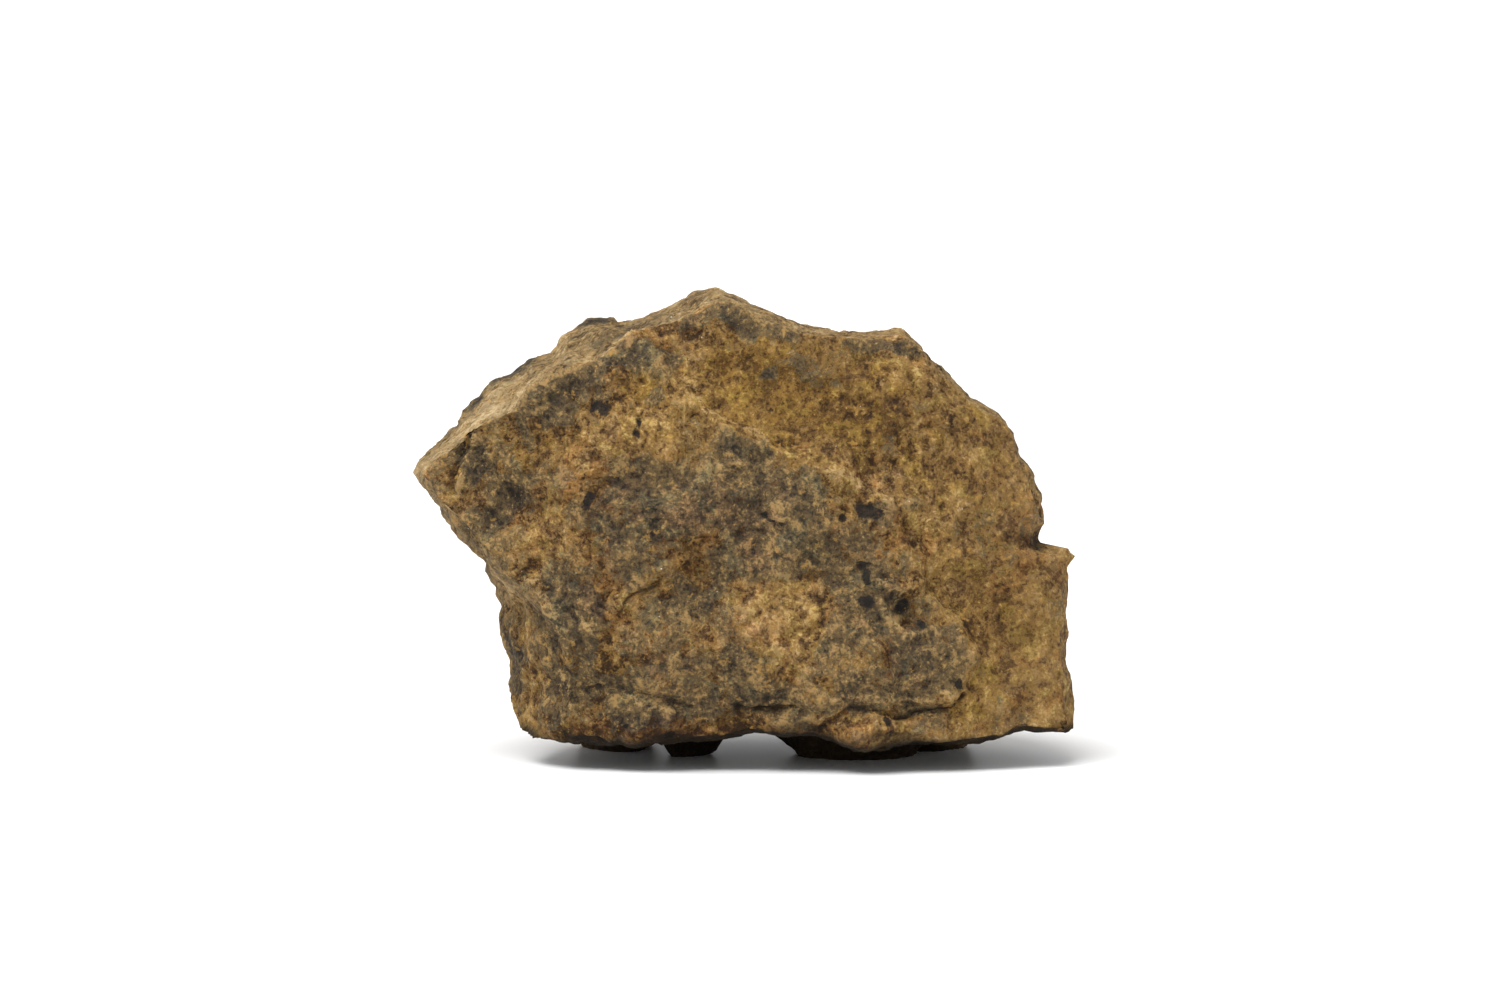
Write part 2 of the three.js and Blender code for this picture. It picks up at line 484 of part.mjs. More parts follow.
function buildMeteorite() {
  const gridHeight = HEIGHT - UNDERSIDE;
  const grid = new THREE.BoxGeometry(WIDTH, GRID_DEPTH, gridHeight, CELL.across, CELL.deep, CELL.high);
  grid.deleteAttribute('normal');
  grid.deleteAttribute('uv');
  const geometry = mergeVertices(grid);
  const places = geometry.getAttribute('position');
  const point = new THREE.Vector3();
  for (let i = 0; i < places.count; i += 1) {
    point.fromBufferAttribute(places, i);
    places.setXYZ(i, ...chop(drawSkin(point), 0).toArray());
  }
  geometry.computeVertexNormals();
  const normals = geometry.getAttribute('normal');
  const normal = new THREE.Vector3();
  for (let i = 0; i < places.count; i += 1) {
    point.fromBufferAttribute(places, i);
    normal.fromBufferAttribute(normals, i);
    const raised = point.clone().addScaledVector(normal, relief(point, normal));
    const { x, y, z } = chop(raised, FACET_PLAY);
    places.setXYZ(i, x, y, Math.max(z, 0));
  }
  geometry.computeBoundingBox();
  const { min, max } = geometry.boundingBox;
  geometry.translate(-(min.x + max.x) / 2, -(min.y + max.y) / 2, -min.z);
  geometry.computeVertexNormals();
  return geometry;
}

const rustyIron = new THREE.MeshStandardMaterial({ color: 0x7d6138, roughness: 0.85, metalness: 0.1 });
const meteorite = new THREE.Mesh(buildMeteorite(), rustyIron);
meteorite.name = 'meteorite';

const specimen = new THREE.Group();
specimen.add(meteorite);

export default specimen;
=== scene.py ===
# Looks of the iron meteorite: its fine surface and rusty finish, a pale floor, soft
# light and the camera. The frame is in metres; sizes and places below are in
# millimetres, in the same axes, and are turned into metres where the mesh is made.
import math

import bpy
import numpy as np
from mathutils import Matrix, Vector


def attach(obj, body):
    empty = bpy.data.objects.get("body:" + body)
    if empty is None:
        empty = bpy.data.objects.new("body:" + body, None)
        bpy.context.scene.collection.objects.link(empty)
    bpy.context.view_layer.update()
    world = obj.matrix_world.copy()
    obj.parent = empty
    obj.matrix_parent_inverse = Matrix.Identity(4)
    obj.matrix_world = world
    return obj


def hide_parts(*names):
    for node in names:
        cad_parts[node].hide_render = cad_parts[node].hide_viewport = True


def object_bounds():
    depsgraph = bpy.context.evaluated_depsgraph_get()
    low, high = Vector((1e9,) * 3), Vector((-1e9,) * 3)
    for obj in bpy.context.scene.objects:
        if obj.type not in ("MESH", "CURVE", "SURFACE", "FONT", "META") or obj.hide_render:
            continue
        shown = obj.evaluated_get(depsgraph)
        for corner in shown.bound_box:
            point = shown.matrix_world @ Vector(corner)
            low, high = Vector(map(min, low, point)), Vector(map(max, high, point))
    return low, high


MM = 0.001

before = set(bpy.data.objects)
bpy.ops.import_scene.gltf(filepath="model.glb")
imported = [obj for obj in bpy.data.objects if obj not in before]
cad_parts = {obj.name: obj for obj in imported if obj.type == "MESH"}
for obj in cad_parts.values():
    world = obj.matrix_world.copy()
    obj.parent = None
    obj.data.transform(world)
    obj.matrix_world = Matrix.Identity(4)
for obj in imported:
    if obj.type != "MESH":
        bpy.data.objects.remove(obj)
cad_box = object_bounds()

# The skin: a box grid drawn over three rings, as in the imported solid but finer
WIDTH = 56.0
HEIGHT = 39.5
UNDERSIDE = 2.3
ACROSS = 158
DEEP = 88
HIGH = 132
MIDDLE_X = 0.0
MIDDLE_Z = 18.0
FRONT_MIDDLE_Y = -14.4
BACK_MIDDLE_Y = 15.4
FRONT_FALL = 2.2
BACK_FALL = 2.6
LEAST_SHARE = 0.15
CALM_SPAN = 6.0
CALM_SAMPLES = 4
EDGE_TEETH_FROM = 0.86
TEETH_REACH = 0.85
PLATE_RISE = 0.75
PLATE_STEP = 1.0
PLATE_FADE_FROM = -21.0
PLATE_FADE_TO = -9.0
PLATE_LOW_SHARE = 0.45
PLATE_LOW_FROM = 5.0
PLATE_LOW_TO = 10.0

# Where the four corners of the box grid go, as degrees around the middle
LOWER_LEFT = -137.0
LOWER_RIGHT = -29.5
UPPER_RIGHT = 51.0
UPPER_LEFT = 136.0

# The rim, clockwise from the left tip, as (x, y, z)
RIM = [
    # left tip and the back edge of the upper left shelf
    (-27.9, -2, 24.0), (-27.4, -1.5, 25.0), (-26.3, -0.5, 26.1), (-25.2, 1, 27.1),
    (-24.4, 1.5, 27.8), (-24.3, 2, 28.3), (-23.9, 2.5, 28.9), (-22.7, 3.5, 30.0),
    (-22.0, 4, 30.9), (-21.2, 4.5, 31.5), (-20.0, 5, 31.9), (-18.4, 5.5, 33.2),
    (-16.5, 4.5, 33.7), (-16.0, 5, 34.4), (-15.7, 5.5, 35.3), (-15.2, 6, 35.7),
    (-14.2, 6, 36.0), (-13.5, 6.5, 36.6), (-11.4, 6.5, 36.8), (-10.9, 5.5, 36.5),
    (-9.0, 4.5, 36.9), (-7.1, 3, 37.6), (-4.6, 0.5, 38.8), (-3.1, -1, 39.5),
    # peak, saddle and the corner of the right shoulder
    (-2.4, -1, 39.5), (-1.5, -1, 39.0), (-0.4, -0.5, 38.7), (0.6, -1, 38.2),
    (3.2, -1.5, 37.3), (4.9, -2.5, 36.5), (7.5, -3.5, 36.0), (9.4, -5.5, 35.7),
    (11.8, -4, 35.9), (13.0, -3.5, 35.9),
    # right shoulder down to the notch
    (13.9, -5, 35.1), (14.5, -5.5, 34.2), (16.4, -4, 32.6), (17.6, -3, 31.4),
    (18.9, -3, 30.1), (20.5, -3, 29.4), (21.4, -3.5, 29.0), (22.5, -5, 27.6),
    (22.9, -5, 26.0), (23.8, -5, 24.1), (24.6, -5, 22.5), (24.7, -5, 21.0),
    (25.1, -5, 19.9), (24.8, -5, 19.2), (24.6, -5, 18.1),
    # standing block on the right
    (25.6, -5, 18.0), (26.9, -6, 17.9), (27.5, -6, 17.2), (26.9, -6, 16.2),
    (26.9, -6, 14.4), (26.7, -6, 12.8), (26.9, -6, 11.0), (26.7, -6, 8.5),
    (27.1, -6, 6.2), (27.6, -7, 4.2), (27.6, -7, 2.8), (26.9, -7, 2.2),
    # lower edge, with the knob between x = 8 and x = 12
    (24.7, -9, 2.9), (22.8, -9.5, 3.0), (21.1, -10, 2.4), (19.2, -10, 2.1),
    (14.1, -9.5, 2.0), (11.5, -13, 2.0), (9.0, -13.5, 1.9), (7.2, -12.5, 2.6),
    (4.5, -12.5, 3.1), (0.4, -12.5, 3.2), (-1.6, -12, 2.5), (-5.4, -12, 2.3),
    (-8.8, -11.5, 2.1), (-13.2, -11, 2.1), (-15.7, -10.5, 2.4), (-17.5, -9, 2.3),
    # left flank and the undercut below the tip
    (-18.7, -7, 3.1), (-19.3, -6, 4.5), (-19.6, -5.5, 5.9), (-19.5, -5, 8.4),
    (-20.3, -4.5, 9.9), (-20.5, -4.5, 10.7), (-20.4, -4, 12.6), (-21.0, -3.5, 14.5),
    (-21.8, -3, 15.7), (-21.7, -3, 16.8), (-22.9, -2.5, 17.8), (-24.4, -2.5, 19.1),
    (-25.1, -2, 19.9), (-25.4, -2, 21.2), (-26.5, -2, 22.3),
]

# The front edge, clockwise from the left tip
FRONT_EDGE = [
    # edge of the shelf, from the tip to the peak
    (-26.2, -9.5, 24.4), (-25.0, -10, 25.8), (-23.6, -10.5, 26.9), (-22.2, -11.5, 28.2),
    (-20.1, -12, 29.3), (-18.4, -12.5, 29.8), (-17.7, -12.5, 30.7), (-15.4, -12.5, 32.4),
    (-13.5, -12.3, 33.3), (-11.8, -12.2, 33.6), (-10.4, -11.5, 34.9), (-8.6, -11, 36.3),
    (-5.9, -10.3, 37.0), (-4.6, -10, 37.3), (-3.3, -9.8, 38.1), (-2.0, -9.6, 38.5),
    # edge of the saddle and the right shoulder
    (-0.8, -9.8, 38.0), (0.5, -10, 37.3), (2.4, -10.3, 36.5), (4.7, -10.2, 36.0),
    (8.0, -10, 35.8), (9.7, -9.5, 35.4), (13.0, -9, 35.6), (14.2, -8.7, 34.3),
    (15.7, -8.5, 32.6), (18.6, -7.5, 29.9), (21.2, -7, 28.7), (22.1, -7, 27.5),
    # right side, past the notch and down the block
    (22.4, -7.3, 25.9), (23.6, -7.7, 23.3), (24.1, -8.2, 21.1), (24.3, -8.4, 20.0),
    (23.9, -8.5, 18.3), (25.2, -8.3, 17.8), (26.6, -8.2, 17.5), (26.3, -8.5, 16.2),
    (26.0, -9, 12.7), (26.1, -9.2, 11.2), (26.0, -9.5, 9.3), (26.5, -9.7, 5.6),
    (26.8, -10, 3.6), (26.3, -10.2, 2.9),
    # lower edge
    (24.3, -11, 3.5), (22.4, -11.8, 3.6), (20.9, -12.3, 3.0), (16.8, -13, 2.8),
    (12.7, -13.5, 2.7), (9.5, -14.3, 2.4), (8.2, -14, 2.6), (7.3, -13.6, 3.2),
    (5.7, -13.5, 3.5), (0.4, -13.5, 3.6), (-1.9, -13.3, 3.0), (-7.8, -13, 2.8),
    (-13.9, -12.6, 3.0), (-15.0, -12.7, 3.9),
    # crease between the front and the left flank
    (-14.6, -13, 6.0), (-14.0, -13, 8.4), (-14.5, -13, 10.7), (-15.4, -13, 12.7),
    (-17.5, -12.8, 15.1), (-19.0, -12.5, 15.9), (-20.7, -12, 17.9), (-22.0, -11.5, 19.3),
    (-23.4, -11, 20.5), (-24.3, -10.5, 21.6), (-25.7, -9.5, 23.4),
]

# The back edge, clockwise as seen from the front, from the left
BACK_EDGE = [
    (-23.0, 7.2, 22.5), (-21.0, 8.6, 27.2), (-17.2, 9.8, 31.0), (-11.5, 10.4, 33.6),
    (-5.5, 9.0, 35.6), (-1.5, 7.6, 35.9), (3.5, 8.2, 34.2), (8.0, 9.4, 32.4),
    (13.4, 9.0, 31.2), (17.0, 7.8, 28.4), (20.6, 7.4, 24.0), (21.6, 8.2, 19.0),
    (23.4, 8.6, 14.5), (24.2, 8.0, 9.0), (22.8, 7.4, 4.2), (17.5, 9.2, 2.4),
    (11.0, 10.6, 2.0), (3.5, 10.0, 2.2), (-4.0, 9.6, 2.6), (-11.0, 10.2, 2.0),
    (-15.6, 9.0, 3.2), (-17.4, 8.6, 8.0), (-18.4, 9.6, 13.0), (-20.6, 8.4, 17.6),
]

# Flat facets that chop the skin: a point on each and the direction it faces. Lumps may
# stand out of a facet by FACET_PLAY.
FACET_PLAY = 0.3
FACETS = [
    ((7, 14.2, 14), (0.26, 0.96, -0.04)),
    ((-8, 12.7, 20), (-0.30, 0.94, 0.14)),
    ((-9, 11.9, 12), (-0.32, 0.90, -0.28)),
    ((2, 11.4, 30), (0.10, 0.80, 0.60)),
    ((-2, 12.4, 6.4), (-0.08, 0.80, -0.58)),
    ((18.4, 9, 22), (0.72, 0.66, 0.16)),
    ((22, 7, 4.6), (0.62, 0.42, -0.66)),
    ((-16.4, 9, 8.6), (-0.76, 0.58, -0.28)),
    ((-20.4, 7.6, 27), (-0.55, 0.75, 0.37)),
    ((14, 8.2, 30), (0.45, 0.62, 0.64)),
    ((17, 11, 9), (0.55, 0.80, -0.22)),
]

# Edge of the raised plate on the front, as (x, z); it runs off the front on the left
PLATE = [
    (-32, 33), (-10, 38), (-7.6, 34.7), (-6.6, 33.8), (-5.4, 32.2),
    (-4.0, 30.6), (-2.3, 29.5), (-0.6, 28.4), (1.8, 27.3), (4.5, 26.0), (7.2, 25.1),
    (8.8, 23.8), (11.7, 22.4), (13.0, 19.9), (13.9, 17.5), (15.1, 15.0), (17.5, 13.0),
    (18.8, 10.1), (18.3, 7.7), (17.1, 6.2), (14.5, 5.6), (9.2, 6.2), (6.5, 5.6),
    (3.9, 5.3), (0.5, 5.2), (-1.6, 4.8), (-5, 3.4), (-10, 2.4), (-24, 1), (-32, 16),
]

# Swells and hollows: side, place on that side, half sizes, turn in degrees, height
SWELLS = [
    # golden dish and the low places around it
    ("front", (5, 31), (11, 5.2), -14, -1.0),
    ("front", (-3.6, 34.4), (4.4, 2.6), -30, -0.6),
    ("front", (15.5, 24.5), (6, 5), -40, -0.5),
    ("front", (21.5, 12), (3.2, 7), 6, -0.45),
    # broad rises and hollows of the plate
    ("front", (-13.5, 27.5), (6, 4.5), 35, 0.55),
    ("front", (-8.5, 24), (4.4, 3.2), 10, -0.5),
    ("front", (-1, 22.5), (6, 3.4), -12, 0.45),
    ("front", (-6.5, 15.5), (6.2, 4.6), 30, -0.6),
    ("front", (0.5, 12), (5.2, 4.6), 0, 0.5),
    ("front", (6.4, 17.5), (4, 3.4), -20, -0.4),
    ("front", (-11, 9.4), (3.4, 2.4), 0, 0.4),
    ("front", (-18.8, 21.8), (3.6, 2.6), -35, -0.5),
    # rimmed oval hollow near the shoulder of the plate
    ("front", (13.0, 13.2), (1.9, 2.1), 30, -0.5),
    # knob at the lower edge and the ledge beside it
    ("front", (10.6, 3.7), (4.6, 2.2), 4, 0.6),
    ("front", (3, 4.4), (5.4, 1.0), 0, 0.3),
    # notch above the standing block
    ("right", (-7, 18.8), (3.8, 1.6), 0, -0.9),
    # lumps low on the left flank and the hollow above them
    ("left", (-7.5, 7.4), (2.2, 2.6), 0, 0.5),
    ("left", (-8, 12.6), (2.8, 2.6), 0, -0.45),
    ("left", (4, 12), (4, 5), 20, -0.8),
    ("left", (3, 22), (4, 2.6), 10, -0.5),
    # shelf and saddle on top
    ("top", (-19, -3), (3.6, 5), 25, -0.7),
    ("top", (-12.5, -2), (2.2, 6), 18, 0.45),
    ("top", (-8.6, -4.5), (2.6, 5.2), 12, -0.6),
    ("top", (4, 1.5), (4.6, 5), 0, -0.9),
    ("top", (11.4, 2.5), (3, 5), 0, 0.5),
    ("right", (1.6, 26), (4.4, 3.8), -30, -0.8),
    ("right", (2, 11), (4.6, 4.6), 10, -0.9),
    # thumbprints on the back
    ("back", (-12, 25.5), (4.6, 3.6), 20, -0.8),
    ("back", (-2.4, 21.5), (4.2, 4.8), -10, -0.9),
    ("back", (9.6, 24.6), (5.4, 4.0), -24, -0.9),
    ("back", (15.4, 14.5), (4.0, 5.2), 10, -1.0),
    ("back", (5.4, 11.6), (4.8, 3.8), 0, -0.9),
    ("back", (-9.4, 10.4), (4.4, 3.0), -16, -0.8),
    ("back", (-2.0, 5.6), (4.6, 2.0), 4, -0.7),
    ("back", (2.5, 30.4), (3.6, 2.2), 0, -0.7),
    # hollows underneath
    ("under", (2.4, 4.6), (5, 4), 0, -0.9),
    ("under", (17.5, -5), (4, 3), 0, -0.6),
    ("under", (-9.5, -5.5), (5, 3), 0, -0.6),
]

# Raised lines and broad grooves: side, route on that side, half width, height
LINES = [
    ("front", [(1.8, 27.3), (7.2, 25.1), (11.7, 22.4)], 1.3, 0.3),
    ("front", [(-10.4, 13.6), (-7.8, 16.4), (-4.6, 17.6)], 1.2, 0.3),
    ("back", [(-6.6, 28), (-7.6, 21), (-5, 15.6), (-2.4, 9)], 1.8, 0.45),
    ("back", [(2.2, 27), (4.6, 19), (10.2, 17.4)], 1.8, 0.45),
]

# Finer lines than the solid can hold: cracks, creases and lit ridges
FINE_LINES = [
    # crack under the plate, and the groove over the knob
    ("front", [(-0.6, 5.5), (1.6, 5.3), (3.9, 5.6)], 0.32, -0.5),
    ("front", [(9.4, 5.6), (10.8, 5.3), (12.2, 5.0), (14.2, 5.2), (16.8, 5.6), (18.6, 6.8)], 0.34, -0.4),
    ("front", [(7.4, 6.4), (9.8, 6.3), (12.2, 6.1), (14.6, 6.2), (17.0, 6.8)], 0.55, 0.2),
    ("front", [(6.4, 3.6), (7.6, 4.6), (8.9, 5.6)], 0.45, -0.3),
    # crease beside the tip and the ridge next to it
    ("front", [(-22.8, 27.6), (-23.5, 25.4), (-24.1, 23.4)], 0.8, -0.4),
    ("front", [(-22.0, 27.4), (-22.5, 25.2), (-23.2, 23.2)], 0.5, 0.35),
    # lit ridges on the plate
    ("front", [(-3.3, 25.0), (-0.4, 25.4)], 0.4, 0.25),
    ("front", [(7.2, 25.2), (8.8, 23.8), (11.7, 22.4)], 0.5, 0.25),
    ("front", [(11.0, 14.4), (11.6, 12.6), (13.0, 11.4), (14.2, 11.6)], 0.42, 0.35),
    ("front", [(10.4, 16.0), (12.4, 15.2), (14.0, 15.4)], 0.5, 0.25),
    # arc low on the plate and the crease at its left
    ("front", [(-13.6, 6.8), (-10.0, 7.1), (-7.0, 6.4), (-4.4, 5.6)], 0.6, -0.25),
    ("front", [(-10.2, 13.0), (-8.6, 14.8), (-7.2, 15.4)], 0.6, -0.3),
    ("front", [(-19.4, 16.3), (-17.2, 15.9), (-16.6, 14.6), (-15.3, 12.8)], 0.4, 0.15),
    # streaks down the left flank
    ("left", [(-9.5, 12.0), (-9.0, 7.0), (-9.4, 4.0)], 0.6, 0.25),
    ("left", [(-7.4, 11.0), (-7.0, 6.0)], 0.6, -0.25),
]

# Pale veins that lie flat on the front, as (x, z)
VEINS = [
    [(-4.6, 30.9), (-2.9, 29.6), (-1.4, 28.9), (0.6, 28.2), (1.9, 27.4)],
    [(-3.6, 30.6), (-4.4, 31.8), (-5.2, 32.6)],
    [(12.6, 14.4), (13.6, 15.6), (15.4, 15.0)],
    [(6.8, 24.6), (8.6, 24.4), (10.4, 23.0), (12.9, 21.8)],
    [(-16.8, 15.5), (-16.0, 14.4), (-15.4, 13.2), (-14.6, 12.0)],
    [(-13.8, 13.6), (-12.4, 12.0), (-11.6, 9.8)],
    [(-14.8, 8.2), (-14.6, 5.6), (-13.8, 4.6)],
    [(-12.6, 7.2), (-10.2, 7.0), (-8.4, 5.8), (-5.4, 5.4)],
    [(-10.0, 14.6), (-9.6, 12.4), (-8.4, 11.0)],
    [(9.8, 33.4), (10.6, 32.4), (11.2, 31.8)],
]

# Low feet underneath: centre (x, y), half sizes and how far they reach down. Each is
# flat out to about its half sizes and has run out at FOOT_SPREAD times that.
FOOT_SPREAD = 2.1
FOOT_FLAT = 0.8
FOOT_RAGGED = (3.2, 0.35, 59)
FEET = [
    ((9.0, -1.4), (3.8, 3.5), 2.8),
    ((-4.4, -1.2), (1.9, 1.9), 2.8),
    ((-10.8, 4.8), (2.4, 3.3), 3.0),
    ((15.8, 4.4), (2.0, 3.4), 2.8),
]

# Uneven lumps all over, as in the solid: across, height, seed
LUMPS = [(7.5, 0.75, 11), (3.4, 0.5, 23), (1.9, 0.2, 37)]
# Fine forms that only the looks hold, in the same order
CHIPS = [(5.2, 0.24, 131), (2.3, 0.15, 139), (1.25, 0.08, 149)]
BROAD_CHIPS = (8.0, 0.5, 151)
CREASES = [(3.1, 0.34, 101), (1.3, 0.16, 109)]
FINE_LUMPS = [(1.0, 0.10, 41), (0.6, 0.10, 53)]
LINE_WANDER = 0.3
SPOT_WANDER = 0.55
PATCH_WANDER = (1.8, 0.7, 191)
LINE_FAR = 5.0
CREASE_LEVEL = 0.35
CHIP_GROOVE_WIDTH = 0.22
CHIP_GROOVE_DEPTH = 0.25
PATINA_RISE = 0.12
PIT_DEPTH = 0.16
SPOT_DEPTH = 0.18
FLANK_ROUGHNESS = 0.55
FURTHER_BACK_Y = -4.0
RIM_LUMP_SHARE = 0.3
RIM_REACH = 2.2

# A place counts as on a side from this share of facing it, and fully from the second
FACING_FROM = 0.15
FACING_TO = 0.6

# Rounds of smoothing that tell how proud a corner stands of its near and wide surroundings
NEAR_ROUNDS = 4
WIDE_ROUNDS = 40

# Small black pits on the front, as (x, z, half width, half height)
SPOTS = [
    (-11.6, 30.1, 0.85, 0.75), (-8.9, 28.7, 0.4, 0.4), (-9.0, 27.9, 0.5, 0.4),
    (-12.65, 22.5, 0.5, 1.3), (7.9, 21.0, 0.55, 0.5), (10.1, 21.5, 1.2, 0.5),
    (9.3, 17.0, 0.8, 0.65), (9.8, 16.2, 0.6, 0.7), (9.9, 14.3, 0.95, 0.45),
    (8.2, 14.0, 0.22, 0.2), (13.0, 13.4, 0.45, 0.6), (14.2, 12.2, 0.35, 0.5),
    (6.6, 7.6, 0.25, 0.2), (17.0, 7.6, 0.5, 0.6), (11.4, 4.4, 0.4, 0.3),
    (1.6, 21.2, 0.6, 0.2), (2.6, 20.9, 0.5, 0.2), (-9.9, 4.2, 0.5, 0.3),
]


def smooth(low, high, value):
    share = np.clip((value - low) / (high - low), 0.0, 1.0)
    return share * share * (3.0 - 2.0 * share)


def mix(first, second, share):
    return first * (1.0 - share) + second * share


class Ring:
    """A closed outline around the middle, which a ray from the middle crosses once."""

    def __init__(self, corners):
        points = np.array(corners, dtype=float)
        x = points[:, 0] - MIDDLE_X
        z = points[:, 2] - MIDDLE_Z
        order = np.argsort(np.arctan2(z, x))
        self.x = x[order]
        self.z = z[order]
        self.y = points[order, 1]
        self.angle = np.arctan2(self.z, self.x)

    def at(self, angle):
        """How far out the ring is at these angles, and how deep it lies there."""
        count = len(self.angle)
        after = np.searchsorted(self.angle, angle, side="right") % count
        before = (after - 1) % count
        ux = np.cos(angle)
        uz = np.sin(angle)
        ex = self.x[after] - self.x[before]
        ez = self.z[after] - self.z[before]
        cross = self.x[before] * self.z[after] - self.z[before] * self.x[after]
        radius = cross / (ux * ez - uz * ex)
        along = (radius * ux - self.x[before]) * ex + (radius * uz - self.z[before]) * ez
        along /= ex * ex + ez * ez
        return radius, mix(self.y[before], self.y[after], along)

    def calm(self, angle):
        """The same without its teeth: the mean of what lies a few degrees either way."""
        radius = np.zeros_like(angle)
        depth = np.zeros_like(angle)
        steps = range(-CALM_SAMPLES, CALM_SAMPLES + 1)
        for step in steps:
            near = angle + math.radians(CALM_SPAN * step / CALM_SAMPLES)
            found = self.at(np.arctan2(np.sin(near), np.cos(near)))
            radius += found[0] / len(steps)
            depth += found[1] / len(steps)
        return radius, depth


rim = Ring(RIM)
front_edge = Ring(FRONT_EDGE)
back_edge = Ring(BACK_EDGE)


def box_grid():
    """Corners and quads of the surface of a box grid, as whole steps across, deep and high."""
    steps = (ACROSS, DEEP, HIGH)
    number = np.full((ACROSS + 1, DEEP + 1, HIGH + 1), -1, dtype=np.int64)
    across, deep, high = np.indices(number.shape)
    skin = (across % ACROSS == 0) | (deep % DEEP == 0) | (high % HIGH == 0)
    number[skin] = np.arange(skin.sum())
    corners = np.stack([across[skin], deep[skin], high[skin]], axis=1)
    quads = []
    for axis in range(3):
        for end in (0, steps[axis]):
            sheet = np.take(number, end, axis=axis)
            quad = np.stack([sheet[:-1, :-1], sheet[1:, :-1], sheet[1:, 1:], sheet[:-1, 1:]], axis=-1)
            turned = (end == 0) != (axis == 1)
            quad = quad.reshape(-1, 4)
            quads.append(quad[:, ::-1] if turned else quad)
    return corners, np.concatenate(quads)


def turn_on_stone(box_angle):
    """Turns an angle on the box into one on the stone, so that their corners meet."""
    down = math.atan2(MIDDLE_Z - UNDERSIDE, WIDTH / 2)
    up = math.atan2(HEIGHT - MIDDLE_Z, WIDTH / 2)
    on_box = [-math.pi + down, -down, up, math.pi - up, math.pi + down]
    on_stone = [LOWER_LEFT, LOWER_RIGHT, UPPER_RIGHT, UPPER_LEFT, LOWER_LEFT + 360.0]
    angle = np.where(box_angle < on_box[0], box_angle + 2 * math.pi, box_angle)
    turned = np.radians(np.interp(angle, on_box, on_stone))
    return np.arctan2(np.sin(turned), np.cos(turned))


def place_at(angle, radius, depth):
    return np.stack([MIDDLE_X + np.cos(angle) * radius, depth, MIDDLE_Z + np.sin(angle) * radius], axis=1)


def draw_end(ring, angle, share, middle_y, fall):
    """Front or back: the ring drawn in to the middle, its teeth only near the edge."""
    edge_radius, edge_y = ring.at(angle)
    calm_radius, calm_y = ring.calm(angle)
    teeth = smooth(EDGE_TEETH_FROM, 1.0, share)
    radius = share * mix(calm_radius, edge_radius, teeth)
    depth = middle_y + (calm_y - middle_y) * share ** fall + (edge_y - calm_y) * teeth
    return place_at(angle, radius, depth)


def draw_stretch(from_ring, to_ring, angle, share):
    """A stretch of the belt from one ring to the next; teeth die out on the way."""
    leaving = 1.0 - smooth(0.0, TEETH_REACH, share)
    reaching = smooth(1.0 - TEETH_REACH, 1.0, share)
    found = zip(from_ring.at(angle), from_ring.calm(angle), to_ring.at(angle), to_ring.calm(angle))
    blended = []
    for from_value, from_calm, to_value, to_calm in found:
        teeth = (from_value - from_calm) * leaving + (to_value - to_calm) * reaching
        blended.append(mix(from_calm, to_calm, share) + teeth)
    return place_at(angle, *blended)


def draw_belt(angle, row):
    """The belt between front and back, with a row of corners kept on the rim."""
    front_radius, front_y = front_edge.at(angle)
    rim_radius, rim_y = rim.at(angle)
    back_radius, back_y = back_edge.at(angle)
    bevel = np.hypot(rim_radius - front_radius, rim_y - front_y)
    flank = np.hypot(back_radius - rim_radius, back_y - rim_y)
    least = LEAST_SHARE * DEEP
    rim_row = np.clip(np.round(DEEP * bevel / (bevel + flank)), least, DEEP - least)
    ahead = draw_stretch(front_edge, rim, angle, np.minimum(row / rim_row, 1.0))
    behind = draw_stretch(rim, back_edge, angle, np.maximum((row - rim_row) / (DEEP - rim_row), 0.0))
    return np.where((row <= rim_row)[:, None], ahead, behind)


def draw_skin(corners):
    x = (corners[:, 0] / ACROSS - 0.5) * WIDTH
    up = UNDERSIDE + corners[:, 2] / HIGH * (HEIGHT - UNDERSIDE) - MIDDLE_Z
    row = corners[:, 1].astype(float)
    reach_up = HEIGHT - MIDDLE_Z
    reach_down = MIDDLE_Z - UNDERSIDE
    share = np.maximum(np.abs(x) / (WIDTH / 2), np.maximum(up / reach_up, -up / reach_down))
    angle = turn_on_stone(np.arctan2(up, x))
    points = draw_belt(angle, row)
    front = row == 0
    back = row == DEEP
    points[front] = draw_end(front_edge, angle[front], share[front], FRONT_MIDDLE_Y, FRONT_FALL)
    points[back] = draw_end(back_edge, angle[back], share[back], BACK_MIDDLE_Y, BACK_FALL)
    return points


def chop(points, play):
    """Draws points in along their rays until they stand out of no facet by more than the play."""
    heart = np.array([MIDDLE_X, 0.0, MIDDLE_Z])
    rays = points - heart
    share = np.ones(len(points))
    for at, faces in FACETS:
        normal = np.array(faces) / np.linalg.norm(faces)
        room = normal @ (np.array(at) - heart) + play
        reach = rays @ normal
        share = np.where(reach > room, np.minimum(share, room / np.maximum(reach, 1e-6)), share)
    return heart + rays * share[:, None]


def corner_normals(points, quads):
    one = points[quads[:, 2]] - points[quads[:, 0]]
    other = points[quads[:, 3]] - points[quads[:, 1]]
    faces = np.cross(one, other)
    normals = np.zeros_like(points)
    for column in range(4):
        for axis in range(3):
            normals[:, axis] += np.bincount(quads[:, column], faces[:, axis], len(points))
    return normals / np.linalg.norm(normals, axis=1, keepdims=True)


